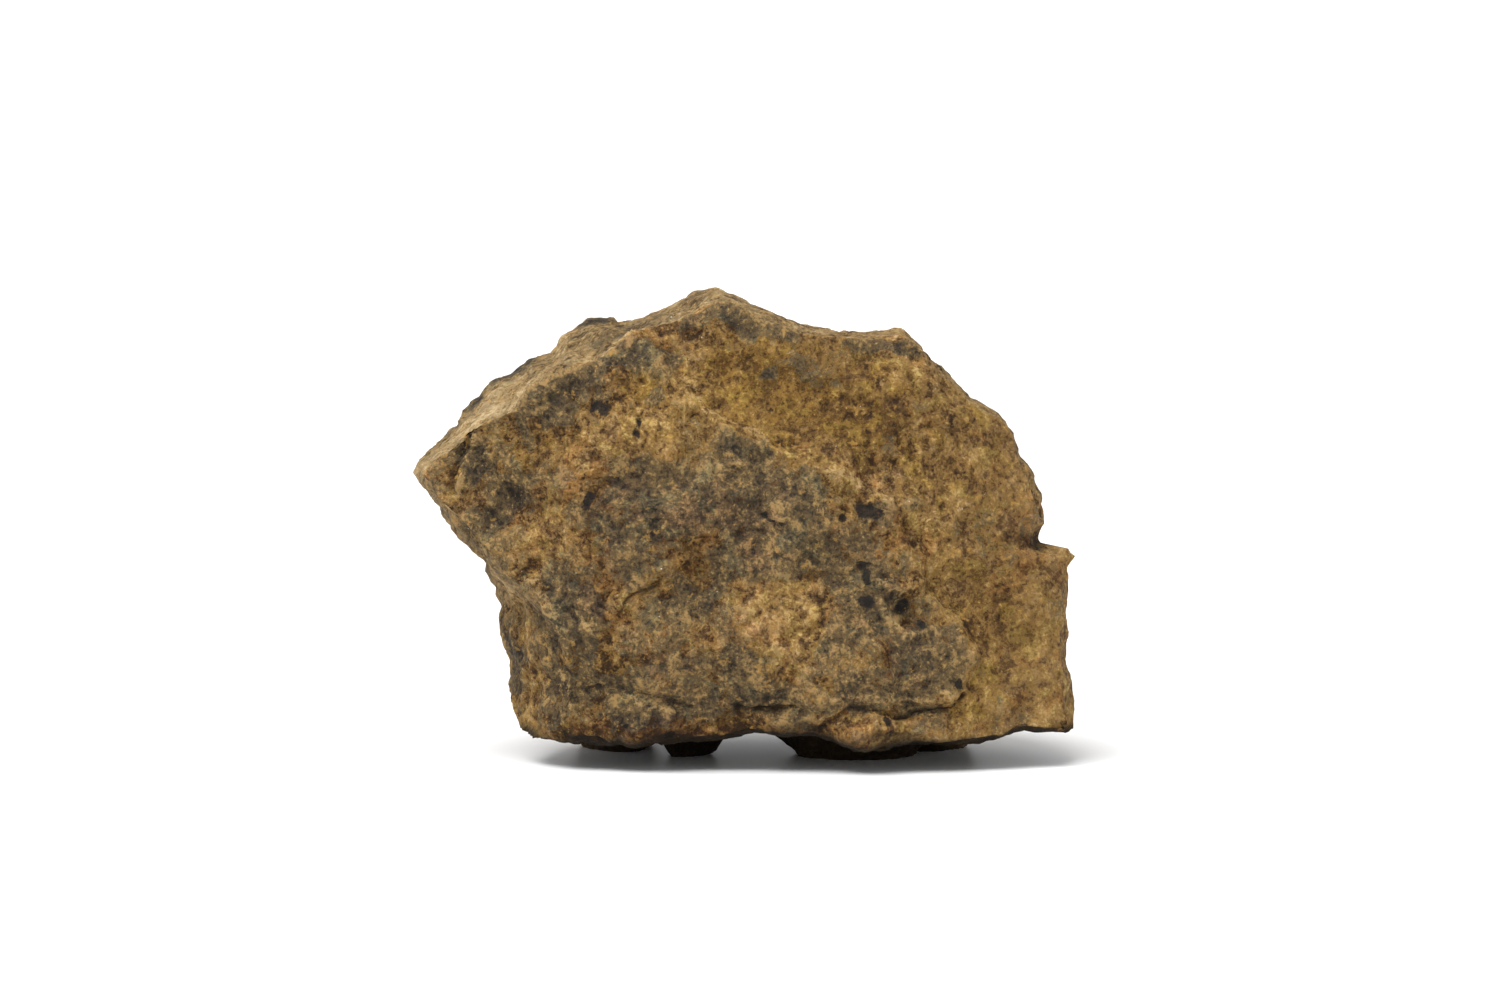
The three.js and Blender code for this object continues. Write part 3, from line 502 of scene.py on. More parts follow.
# Each side: which way it faces and the two axes that a place on it is given in
SIDES = {
    "front": ((0, -1, 0), (0, 2)),
    "back": ((0, 1, 0), (0, 2)),
    "top": ((0, 0, 1), (0, 1)),
    "under": ((0, 0, -1), (0, 1)),
    "left": ((-1, 0, 0), (1, 2)),
    "right": ((1, 0, 0), (1, 2)),
}


def facing(side, normals):
    """How far a place faces this side, from 0 to 1."""
    return smooth(FACING_FROM, FACING_TO, normals @ np.array(SIDES[side][0], dtype=float))


def on_side(side, points):
    """The two coordinates that a place on this side is given in."""
    first, second = SIDES[side][1]
    return points[:, first], points[:, second]


def oval(points, side, at, size, turn=0.0):
    """1 in the middle of an oval, falling to 0 at its edge."""
    first, second = on_side(side, points)
    angle = math.radians(turn)
    dx = first - at[0]
    dz = second - at[1]
    u = (dx * math.cos(angle) + dz * math.sin(angle)) / size[0]
    v = (dz * math.cos(angle) - dx * math.sin(angle)) / size[1]
    return 1.0 - smooth(0.0, 1.0, np.hypot(u, v))


def ovals(points, normals, forms):
    """All these ovals added up, each on its own side and with its own height or share."""
    total = np.zeros(len(points))
    for side, at, size, turn, share in forms:
        total += share * facing(side, normals) * oval(points, side, at, size, turn)
    return total


def distance_to_route(first, second, route):
    nearest = np.full(len(first), np.inf)
    for (x0, z0), (x1, z1) in zip(route[:-1], route[1:]):
        ex = x1 - x0
        ez = z1 - z0
        along = np.clip(((first - x0) * ex + (second - z0) * ez) / (ex * ex + ez * ez), 0.0, 1.0)
        nearest = np.minimum(nearest, np.hypot(first - x0 - along * ex, second - z0 - along * ez))
    return nearest


def ridges(points, normals, lines, wander=0.0):
    """All these lines added up: full height or share on the route, none at the half width."""
    total = np.zeros(len(points))
    for side, route, width, rise in lines:
        first, second = on_side(side, points)
        distance = distance_to_route(first + wander, second - wander, route)
        total += rise * facing(side, normals) * (1.0 - smooth(0.0, width, distance))
    return total


def inside_plate(x, z):
    """How far inside the plate's edge a place lies; negative outside."""
    inside = np.zeros(len(x), dtype=bool)
    closed = PLATE + PLATE[:1]
    for (x0, z0), (x1, z1) in zip(closed[:-1], closed[1:]):
        if z0 == z1:
            continue
        spans = (z0 > z) != (z1 > z)
        inside ^= spans & (x < x0 + (x1 - x0) * (z - z0) / (z1 - z0))
    distance = distance_to_route(x, z, closed)
    return np.where(inside, distance, -distance)


# Large odd numbers that stir the bits of a lattice corner
STIR = (374761393, 668265263, 1274126177, 461845907, 1103515245, 1597334677)


def corner_value(i, j, k, seed):
    """A number from 0 to 1 that belongs to one corner of a lattice."""
    bits = i * np.uint32(STIR[0]) ^ j * np.uint32(STIR[1])
    bits = bits ^ k * np.uint32(STIR[2]) ^ np.uint32(seed * STIR[3] % 2**32)
    bits = (bits ^ (bits >> np.uint32(13))) * np.uint32(STIR[4])
    bits = (bits ^ (bits >> np.uint32(15))) * np.uint32(STIR[5])
    return (bits ^ (bits >> np.uint32(16))) / 2.0**32


def unevenness(points, across, seed):
    """Uneven lumps, from -1 to 1."""
    scaled = points / across
    cell = np.floor(scaled)
    part = scaled - cell
    part = part * part * (3.0 - 2.0 * part)
    whole = cell.astype(np.int64).astype(np.uint32)
    total = np.zeros(len(points))
    for corner in range(8):
        step = [corner & 1, (corner >> 1) & 1, (corner >> 2) & 1]
        weight = np.ones(len(points))
        for axis in range(3):
            weight *= part[:, axis] if step[axis] else 1.0 - part[:, axis]
        i, j, k = (whole[:, axis] + np.uint32(step[axis]) for axis in range(3))
        total += weight * corner_value(i, j, k, seed)
    return 2.0 * total - 1.0


def cloudiness(points, across, seed, octaves=4, keep=0.55):
    """Several sizes of unevenness added up, from about -1 to 1."""
    total = np.zeros(len(points))
    height = 1.0
    whole = 0.0
    for octave in range(octaves):
        total += height * unevenness(points, across / 2**octave, seed + octave)
        whole += height
        height *= keep
    return total / whole * 1.6


def rim_calm(points):
    """Less unevenness near the rim, whose teeth are already in its outline."""
    dx = points[:, 0] - MIDDLE_X
    dz = points[:, 2] - MIDDLE_Z
    distance = np.abs(rim.at(np.arctan2(dz, dx))[0] - np.hypot(dx, dz))
    return mix(RIM_LUMP_SHARE, 1.0, smooth(0.0, RIM_REACH, distance))


def chips(points, across, seed):
    """Flat chips at all angles, each around its own point, with a shallow groove between."""
    scaled = points / across
    cell = np.floor(scaled)
    whole = cell.astype(np.int64).astype(np.uint32)
    nearest = np.full(len(points), np.inf)
    second = np.full(len(points), np.inf)
    height = np.zeros(len(points))
    for step in np.ndindex(3, 3, 3):
        i, j, k = (whole[:, axis] + np.uint32((step[axis] - 1) % 2**32) for axis in range(3))
        centre = np.stack([corner_value(i, j, k, seed + n) for n in range(3)], axis=1)
        away = scaled - (cell + np.array(step) - 1.0 + centre)
        distance = np.linalg.norm(away, axis=1)
        tilt = np.stack([corner_value(i, j, k, seed + n) for n in range(3, 6)], axis=1) * 2.0 - 1.0
        own = np.einsum("ij,ij->i", away, tilt) + corner_value(i, j, k, seed + 6) - 0.5
        closer = distance < nearest
        second = np.where(closer, nearest, np.minimum(second, distance))
        height = np.where(closer, own, height)
        nearest = np.where(closer, distance, nearest)
    inside = smooth(0.0, CHIP_GROOVE_WIDTH, second - nearest)
    return height * inside - CHIP_GROOVE_DEPTH * (1.0 - inside)


def foot_height(points, at, size, reach):
    """How far a foot reaches down."""
    away = np.hypot((points[:, 0] - at[0]) / size[0], (points[:, 1] - at[1]) / size[1])
    across, ragged, seed = FOOT_RAGGED
    away += ragged * unevenness(points, across, seed)
    return reach * (1.0 - smooth(FOOT_FLAT, FOOT_SPREAD, away))


def main_relief(points, normals):
    """Height of the plate, swells, lines, feet and lumps along the outward direction."""
    plate = smooth(-PLATE_STEP / 2, PLATE_STEP / 2, inside_plate(points[:, 0], points[:, 2]))
    plate *= smooth(PLATE_FADE_FROM, PLATE_FADE_TO, points[:, 0])
    plate *= mix(PLATE_LOW_SHARE, 1.0, smooth(PLATE_LOW_FROM, PLATE_LOW_TO, points[:, 2]))
    height = PLATE_RISE * facing("front", normals) * plate
    height += ovals(points, normals, SWELLS) + ridges(points, normals, LINES)
    feet = [foot_height(points, at, size, reach) for at, size, reach in FEET]
    height += facing("under", normals) * np.max(feet, axis=0)
    calm = rim_calm(points)
    for across, rise, seed in LUMPS:
        height += calm * rise * unevenness(points, across, seed)
    return height


# Where the dark patina is kept (positive) or worn off (negative): side, place, half sizes,
# turn, share
PATINA = [
    # dark border under the shelf's edge and the green-black left end
    ("front", (-14.5, 30.6), (7.5, 3.4), 38, 0.7),
    ("front", (-7.6, 33.4), (3.2, 2.2), -20, 0.6),
    ("front", (-20.0, 22.4), (3.6, 5.2), -20, 0.7),
    ("front", (-8.0, 25.2), (2.6, 2.6), 0, 0.35),
    # dark band across the middle
    ("front", (-4.0, 23.6), (9.5, 4.2), -6, 0.4),
    ("front", (3.6, 19.4), (5.4, 4.0), -24, 0.35),
    # small soft dark places
    ("front", (-7.3, 30.1), (1.3, 1.1), 0, 1.2),
    ("front", (1.9, 32.6), (1.2, 0.9), 0, 1.2),
    ("front", (1.7, 26.7), (0.6, 1.0), 0, 1.0),
    ("front", (5.6, 27.0), (0.8, 0.8), 0, 1.0),
    ("front", (3.2, 18.2), (1.2, 0.9), 0, 0.8),
    ("front", (4.8, 17.0), (1.4, 1.4), 0, 0.8),
    ("front", (10.2, 34.8), (1.8, 1.0), -8, 1.2),
    ("front", (-22.0, 25.4), (0.9, 3.0), -14, 1.2),
    ("front", (-25.3, 23.4), (1.1, 1.0), 0, 1.4),
    ("front", (0.0, 35.6), (0.9, 0.7), 0, 0.8),
    ("front", (4.4, 33.6), (0.9, 0.8), 0, 0.5),
    ("front", (9.6, 29.6), (1.0, 0.8), 0, 0.6),
    ("front", (12.0, 27.4), (0.9, 0.8), 0, 0.6),
    ("front", (13.4, 22.0), (1.0, 0.9), 0, 0.6),
    # dark caps on the back edge of the shelf, and on the bevel of the right side
    ("top", (-23.0, 2.0), (2.0, 3.6), 0, 1.6),
    ("top", (-19.6, 3.6), (2.2, 3.4), 0, 1.8),
    ("top", (-12.4, 4.6), (2.6, 3.4), 0, 1.8),
    ("top", (-3.4, -2.6), (3.0, 2.6), 0, 0.8),
    ("right", (-5.5, 27.2), (2.2, 1.0), 0, 2.0),
    ("right", (-5.5, 28.8), (1.6, 0.7), 0, 1.6),
    ("front", (-11.0, 18.0), (4.0, 3.0), 20, 0.2),
    # dark lower middle and the shoulder of the plate
    ("front", (-7.4, 8.8), (4.2, 2.4), -10, 0.6),
    ("front", (5.6, 10.2), (2.4, 3.0), 0, 0.35),
    ("front", (15.0, 9.6), (4.0, 3.6), -30, 0.45),
    ("front", (1.8, 6.6), (4.4, 1.4), 0, 0.35),
    # ochre middle, dish, right flank and ledge
    ("front", (2.0, 13.2), (7.0, 5.4), 0, -0.8),
    ("front", (-8.6, 30.0), (3.0, 2.4), 0, -0.3),
    ("front", (-15.0, 20.0), (3.0, 2.4), 0, -0.25),
    ("front", (5.5, 31.0), (12.0, 6.0), -10, -0.4),
    ("front", (20.5, 16.0), (6.0, 13.0), 10, -0.35),
    ("front", (8.0, 3.6), (12.0, 2.0), 0, -0.4),
    ("front", (-8.0, 3.4), (12.0, 2.4), 0, -0.8),
    # dark edges of the shoulder and the peak
    ("front", (13.4, 34.4), (2.4, 1.4), -30, 1.0),
    ("front", (-0.6, 36.8), (3.0, 1.4), -20, 0.8),
    ("front", (-9.4, 34.6), (4.0, 1.0), 32, 0.8),
    ("front", (21.4, 27.6), (1.0, 1.6), 20, 0.6),
    ("left", (-6.6, 7.4), (2.6, 3.2), 0, 0.9),
    ("left", (-8.5, 12.5), (4.5, 5.0), 0, -0.5),
    ("front", (-16.6, 8.0), (3.2, 6.5), 0, -0.5),
    # sides that the photo doesn't show
    ("back", (-11, 27), (6, 5), 20, 0.35),
    ("back", (8, 12), (8, 5), -10, 0.4),
    ("back", (-8, 10), (6, 4), 10, -0.3),
    ("back", (11, 26), (6, 4), -20, -0.3),
    ("top", (-12, 2), (9, 6), 15, -0.4),
    ("top", (8, 2), (8, 5), 0, -0.25),
    ("right", (3, 14), (5, 8), 0, 0.2),
    ("left", (3, 14), (5, 7), 0, -0.25),
]


# Edges that keep the old patina: side, route, half width, share
DARK_EDGES = [
    ("front", [
        (-17.7, 30.3), (-14.4, 32.1), (-11.6, 33.1), (-9.9, 34.1), (-7.5, 34.2), (-6.3, 33.0),
    ], 1.3, 0.9),
    ("front", [(-4.4, 36.9), (-2.0, 38.0), (0.5, 37.0), (2.4, 36.3), (4.0, 35.8)], 1.2, 1.5),
    ("front", [(8.4, 35.2), (10.8, 34.8), (13.4, 34.8)], 0.9, 0.9),
    ("front", [(-22.2, 28.2), (-22.8, 26.0), (-22.4, 24.0)], 0.9, 0.7),
]


# Where the rust is golden (positive) or reddish (negative), in the order of the patina
WARMTH = [
    ("front", (5, 31), (13, 7), -14, 0.8),
    ("front", (20.5, 15), (9, 15), 8, -0.1),
    ("front", (-13, 10), (5, 6), 0, 0.5),
    ("front", (-8.5, 31), (4, 3), 20, 0.6),
    ("front", (-20, 26), (5, 4), 0, 0.4),
    ("front", (-7, 3.4), (11, 2.2), 0, -0.9),
    ("front", (2.5, 12.5), (7, 5), 0, 0.1),
    ("front", (-4, 22), (9, 5), 0, -0.5),
    ("front", (11, 24), (5, 3), -20, -0.5),
    ("front", (11, 3.4), (6, 2.4), 0, -0.4),
    ("left", (-6, 8), (5, 6), 0, 0.3),
    ("back", (6, 24), (9, 8), 0, 0.5),
    ("back", (-8, 12), (9, 8), 0, -0.4),
    ("right", (3, 20), (6, 8), 0, 0.4),
]


# Where the tone is lighter (positive) or darker (negative), in the order of the patina
LIGHTNESS = [
    ("front", (2.5, 13.0), (8, 6), 0, 0.16),
    # darker along the bottom of the front: partly darker rust, partly painted shade
    ("front", (-7, 3.2), (13, 2.6), 0, -0.38),
    ("front", (21, 14), (6, 10), 0, -0.10),
    ("front", (6, 31), (13, 6.5), -12, -0.09),
    ("front", (-13, 8), (6, 6), 0, -0.06),
    ("front", (10, 3.2), (8, 2.2), 0, -0.06),
    ("front", (-15.5, 31), (7, 2.6), 38, -0.06),
    ("front", (-4.4, 24.4), (4.5, 3), -10, 0.04),
    ("front", (8.6, 23.8), (3.5, 1.6), -24, 0.12),
    ("front", (-9, 11.5), (3, 3), 0, 0.04),
    ("front", (15.4, 9.6), (3, 3.4), 0, -0.05),
    ("front", (-2, 17.5), (6, 3), 0, -0.04),
    ("front", (-1.0, 37.2), (3.2, 1.4), -20, -0.14),
    ("front", (13.4, 34.6), (2.4, 1.4), -30, -0.10),
    ("front", (-26.8, 24.4), (1.8, 1.8), 0, 0.25),
    ("top", (-21, -5), (7, 7), 15, 0.26),
    ("top", (-11.5, -2), (6, 7), 0, -0.26),
    ("top", (-23.0, 2.0), (2.2, 3.6), 0, -0.22),
    ("top", (-19.6, 3.6), (2.4, 3.4), 0, -0.24),
    ("top", (-12.4, 4.6), (2.8, 3.4), 0, -0.24),
]


def wandered(points):
    """The points moved to and fro a little, so that ovals laid over them come out uneven."""
    across, far, seed = PATCH_WANDER
    moves = [unevenness(points, across, seed + axis) for axis in range(3)]
    return points + far * np.stack(moves, axis=1)


def lightness_cover(points, normals):
    """How much lighter or darker the tone is."""
    cover = 0.01 + 0.05 * cloudiness(points, 9.0, 173, octaves=2)
    return cover + ovals(wandered(points), normals, LIGHTNESS)


def warmth_cover(points, normals):
    """Above 0 where the rust is golden, below 0 where it is reddish."""
    return 0.45 * cloudiness(points, 6.0, 157) + ovals(points, normals, WARMTH)


def patina_cover(points, normals):
    """How much of the old dark patina is left, from about -1 to 1; above 0 it stands proud."""
    cover = 0.75 * cloudiness(points, 4.6, 71) + 0.35 * cloudiness(points, 1.3, 83, octaves=3)
    plate = smooth(-1.0, 1.0, inside_plate(points[:, 0], points[:, 2]))
    front = facing("front", normals)
    cover += front * (0.28 * plate - 0.22 * (1.0 - plate)) - 0.12 * (1.0 - front)
    cover -= 0.35 * facing("top", normals)
    moved = wandered(points)
    return cover + ovals(moved, normals, PATINA) + ridges(moved, normals, DARK_EDGES)


def beyond_front(points):
    """How far a place lies outside the front edge, seen from the front; 1 further back."""
    dx = points[:, 0] - MIDDLE_X
    dz = points[:, 2] - MIDDLE_Z
    outside = np.hypot(dx, dz) - front_edge.at(np.arctan2(dz, dx))[0]
    return np.where(points[:, 1] > FURTHER_BACK_Y, 1.0, outside)


def spot_cover(points, normals):
    """Above 0 inside the small dark spots on the front, in half sizes from their edge."""
    cover = np.full(len(points), -1.0)
    first = points[:, 0] + SPOT_WANDER * unevenness(points, 1.0, 97)
    second = points[:, 2] + SPOT_WANDER * unevenness(points, 1.0, 98)
    ragged = 0.35 * unevenness(points, 0.6, 99)
    for x, z, half_width, half_height in SPOTS:
        away = np.hypot((first - x) / half_width, (second - z) / half_height)
        cover = np.maximum(cover, 1.0 - away + ragged)
    return np.where(normals[:, 1] < -0.3, cover, -1.0)


def flank_cover(points, normals):
    """1 on the smoother right flank of the front, less in the dish, 0 elsewhere."""
    flank = smooth(13.0, 22.0, points[:, 0])
    dish = np.minimum(1.5 * oval(points, "front", (6, 31), (14, 7), -14), 0.9)
    return facing("front", normals) * np.maximum(flank, dish)


def shelf_dust_and_light_cover(points, normals):
    """How dusty the upward-facing places are, in patches behind the rim; the dust also stands in as painted
    light on these tops.
    """
    patches = mix(1.0, 0.45 + 0.35 * cloudiness(points, 7.0, 181, octaves=2), smooth(2.0, 7.0, points[:, 1]))
    patches *= mix(1.0, 0.65, smooth(2.0, 14.0, points[:, 0]))
    return smooth(0.1, 0.5, normals[:, 2]) * smooth(17.0, 20.0, points[:, 2]) * patches


def painted_floor_shade_cover(points, normals):
    """Painted shade: 1 close to the floor and where the underside turns away from the light."""
    under = smooth(0.3, 0.8, -normals[:, 2]) * smooth(8.0, 4.0, points[:, 2])
    ahead = smooth(4.0, 0.0, points[:, 1])
    touching = smooth(3.2, 1.6, points[:, 2]) * mix(0.4, 1.0, ahead)
    beneath = smooth(3.8, 2.8, points[:, 2]) * smooth(-11.0, -9.0, points[:, 1]) * ahead
    return np.maximum(np.maximum(touching, under), beneath)


def undercut_dust_and_light_cover(points, normals):
    """1 on the strip of the left side above its undercut, where pale dust also stands in as painted light
    against its shade.
    """
    return facing("left", normals) * smooth(11.0, 15.0, points[:, 2])


def line_wander(points):
    """How far the fine lines stray from their routes."""
    return LINE_WANDER * unevenness(points, 1.2, 61)


def line_distance(points, normals, lines):
    """Distance to the nearest of these lines in millimetres, or far where there is none."""
    nearest = np.full(len(points), LINE_FAR)
    wander = line_wander(points)
    for side, route in lines:
        first, second = on_side(side, points)
        distance = distance_to_route(first + wander, second - wander, route)
        nearest = np.where(facing(side, normals) > 0.5, np.minimum(nearest, distance), nearest)
    return nearest


def fine_relief(points, normals, patina, spots):
    """Height of cracks, flaky patina, small pits and hackly grain."""
    height = ridges(points, normals, FINE_LINES, line_wander(points))
    height += PATINA_RISE * smooth(-0.05, 0.12, patina)
    calm = rim_calm(points)
    rough = mix(0.5, 1.0, calm) * mix(1.0, FLANK_ROUGHNESS, flank_cover(points, normals))
    behind = 1.0 - facing("front", normals)
    for across, rise, seed in CHIPS:
        height += rough * rise * chips(points, across, seed)
    across, rise, seed = BROAD_CHIPS
    height += behind * calm * rise * chips(points, across, seed)
    for across, rise, seed in CREASES:
        height += rough * rise * (np.abs(cloudiness(points, across, seed, octaves=3)) - CREASE_LEVEL)
    for across, rise, seed in FINE_LUMPS:
        height += rough * rise * unevenness(points, across, seed)
    pits = smooth(0.35, 0.75, unevenness(points, 0.9, 113))
    pits *= smooth(0.0, 0.5, unevenness(points, 3.0, 127))
    return height - PIT_DEPTH * pits - SPOT_DEPTH * smooth(-0.1, 0.5, spots)


def neighbour_mean(values, pairs, count):
    """The mean of each corner's neighbours."""
    ones = np.bincount(pairs[:, 0], minlength=count) + np.bincount(pairs[:, 1], minlength=count)
    total = np.empty_like(values)
    for axis in range(values.shape[1]):
        column = values[:, axis]
        total[:, axis] = np.bincount(pairs[:, 0], column[pairs[:, 1]], count)
        total[:, axis] += np.bincount(pairs[:, 1], column[pairs[:, 0]], count)
    return total / ones[:, None]


def proudness(points, normals, quads, rounds):
    """How far each corner stands above its surroundings, in millimetres; hollows are negative."""
    sides = [quads[:, [0, 1]], quads[:, [1, 2]], quads[:, [2, 3]], quads[:, [3, 0]]]
    pairs = np.unique(np.sort(np.concatenate(sides), axis=1), axis=0)
    calm = points
    for _ in range(rounds):
        calm = neighbour_mean(calm, pairs, len(points))
    return np.einsum("ij,ij->i", points - calm, normals)


def fit_to_box(points, low, high):
    """Moves and barely stretches the points so that they fill the box of the solid."""
    own_low = points.min(axis=0)
    own_high = points.max(axis=0)
    return low + (points - own_low) * (high - low) / (own_high - own_low)


def build_meteorite():
    """The fine mesh in metres, with what the finish needs to know stored at its corners."""
    corners, quads = box_grid()
    points = chop(draw_skin(corners), 0.0)
    normals = corner_normals(points, quads)
    placed = points
    points = chop(points + normals * main_relief(points, normals)[:, None], FACET_PLAY)
    broad_normals = corner_normals(points, quads)
    patina = patina_cover(placed, broad_normals)
    spots = spot_cover(points, broad_normals)
    points = points + broad_normals * fine_relief(placed, broad_normals, patina, spots)[:, None]
    points[:, 2] = np.maximum(points[:, 2], 0.0)
    normals = corner_normals(points, quads)
    # raised fine lines are painted pale with the veins, as painted light on the ridges
    veins_and_lit_ridges = [("front", route) for route in VEINS] + [line[:2] for line in FINE_LINES if line[3] > 0]
    # the grooves are painted dark, as painted shadow in the cracks
    shadowed_cracks = [line[:2] for line in FINE_LINES if line[3] < 0]
    stored = {
        "patina": patina,
        "spots": spots,
        "warmth": warmth_cover(placed, broad_normals),
        "lightness": lightness_cover(placed, broad_normals),
        "flank": flank_cover(placed, broad_normals),
        "beyond": beyond_front(placed),
        # dust on the tops, partly painted light
        "shelf_dust_and_light": shelf_dust_and_light_cover(placed, broad_normals),
        # pale strip on the left, partly painted light against its shade
        "undercut_dust_and_light": undercut_dust_and_light_cover(placed, broad_normals),
        # painted shade near the floor and under the stone
        "low": painted_floor_shade_cover(points, broad_normals),
        "vein_and_ridge_light": line_distance(placed, broad_normals, veins_and_lit_ridges),
        "crack_shadow": line_distance(placed, broad_normals, shadowed_cracks),
        "fine_proud": proudness(points, normals, quads, NEAR_ROUNDS),
        "broad_proud": proudness(points, normals, quads, WIDE_ROUNDS),
    }
    low = np.array(cad_box[0]) / MM
    high = np.array(cad_box[1]) / MM
    points = fit_to_box(points, low, high) * MM
    mesh = bpy.data.meshes.new("meteorite_surface")
    mesh.from_pydata(points.tolist(), [], quads.tolist())
    mesh.shade_smooth()
    for name, values in stored.items():
        layer = mesh.attributes.new(name, "FLOAT", "POINT")
        layer.data.foreach_set("value", values.astype(np.float32))
    mesh.update()
    piece = bpy.data.objects.new("meteorite_surface", mesh)
    bpy.context.scene.collection.objects.link(piece)
    return piece


class Value:
    """A shader socket that can stand in sums; each sum adds its Math node."""

    def __init__(self, nodes, socket):
        self.nodes = nodes
        self.socket = socket

    def sum(self, operation, first, second):
        return self.nodes.add("ShaderNodeMath", {"operation": operation}, {0: first, 1: second})

    def __add__(self, other):
        return self.sum("ADD", self, other)

    def __radd__(self, other):
        return self.sum("ADD", other, self)

    def __sub__(self, other):
        return self.sum("SUBTRACT", self, other)

    def __rsub__(self, other):
        return self.sum("SUBTRACT", other, self)

    def __mul__(self, other):
        return self.sum("MULTIPLY", self, other)

    def __rmul__(self, other):
        return self.sum("MULTIPLY", other, self)


class Nodes:
    """A node tree under construction."""

    def __init__(self, tree):
        self.tree = tree
        self.tree.nodes.clear()

    def add(self, kind, settings=None, sockets=None, out=0):
        """Adds a node: its settings first, then the values or links of its sockets."""
        made = self.tree.nodes.new(kind)
        for name, value in (settings or {}).items():
            setattr(made, name, value)
        for name, value in (sockets or {}).items():
            if isinstance(value, Value):
                self.tree.links.new(value.socket, made.inputs[name])
            else:
                made.inputs[name].default_value = value
        return Value(self, made.outputs[out]) if made.outputs else made

    def stored(self, name):
        return self.add("ShaderNodeAttribute", {"attribute_name": name}, out="Fac")

    def noise(self, place, across, detail=4.0, roughness=0.6, distortion=0.0):
        """Noise from 0 to 1 whose lumps are this many millimetres across."""
        return self.add("ShaderNodeTexNoise", None, {
            "Vector": place,
            "Scale": 1.0 / across,
            "Detail": detail,
            "Roughness": roughness,
            "Distortion": distortion,
        })

    def step(self, value, low, high):
        """0 below low, 1 above high, smooth between."""
        sockets = {"Value": value, "From Min": low, "From Max": high}
        return self.add("ShaderNodeMapRange", {"interpolation_type": "SMOOTHSTEP"}, sockets)

    def blend(self, base, over, share):
        """One colour over another."""
        return self.add("ShaderNodeMix", {"data_type": "RGBA"}, {0: share, 6: base, 7: over}, out=2)

    def tint(self, base, over, share):
        """A colour multiplied by another."""
        settings = {"data_type": "RGBA", "blend_type": "MULTIPLY"}
        return self.add("ShaderNodeMix", settings, {0: share, 6: base, 7: over}, out=2)

    def tones(self, value, stops):
        """A colour for each tone: dark at the low end, light at the high end."""
        (last, mixed), *others = stops
        for at, next_colour in others:
            mixed = self.blend(mixed, next_colour, self.step(value, last, at))
            last = at
        return mixed


def new_material(name):
    material = bpy.data.materials.new(name)
    material.use_nodes = True
    return material, Nodes(material.node_tree)


# How bright a white surface in the place of the stone's front would be
LIGHT_ON_FRONT = 1.36


def colour(red, green, blue):
    """A colour picked as it looks on screen, from 0 to 255, as the shader needs it."""
    def linear(value):
        share = value / 255.0
        plain = share / 12.92 if share <= 0.04045 else ((share + 0.055) / 1.055) ** 2.4
        return plain / LIGHT_ON_FRONT
    return (linear(red), linear(green), linear(blue), 1.0)


# Rust from dark to light
RUST_TONES = [
    (0.14, colour(56, 38, 18)),
    (0.32, colour(97, 70, 36)),
    (0.50, colour(136, 104, 58)),
    (0.66, colour(164, 129, 74)),
    (0.84, colour(202, 166, 108)),
]
# Old patina from dark to light
PATINA_TONES = [
    (0.14, colour(40, 34, 27)),
    (0.36, colour(71, 61, 45)),
    (0.58, colour(106, 88, 60)),
    (0.82, colour(160, 129, 82)),
]
# Pale dust, also laid on as painted light, from dark to light
DUST_AND_LIGHT_TONES = [
    (0.16, colour(80, 62, 38)),
    (0.34, colour(118, 96, 62)),
    (0.52, colour(154, 128, 86)),
    (0.70, colour(181, 153, 108)),
    (0.88, colour(210, 186, 144)),
]
GOLD_TINT = (1.04, 1.0, 0.75, 1.0)
RED_TINT = (1.04, 0.92, 0.90, 1.0)
OLIVE_TINT = (0.90, 1.0, 0.92, 1.0)
GREY_TINT = (0.95, 1.0, 1.27, 1.0)
BLUE_TINT = (0.83, 0.99, 1.15, 1.0)
PURPLE_TINT = (1.0, 0.95, 1.06, 1.0)
SHELF_GREY = colour(140, 125, 98)
SPOT_BLACK = colour(34, 32, 31)
OCHRE_BLOB = colour(188, 143, 72)
PALE_SPECK = colour(204, 170, 116)
# Deep brown for dark specks, and painted shadow in the cracks
DEEP_BROWN_AND_CRACK_SHADE = colour(42, 28, 14)
GLINT = colour(236, 228, 210)
# Painted shade on the underside and close to the floor
PAINTED_UNDER_SHADE = colour(22, 17, 12)


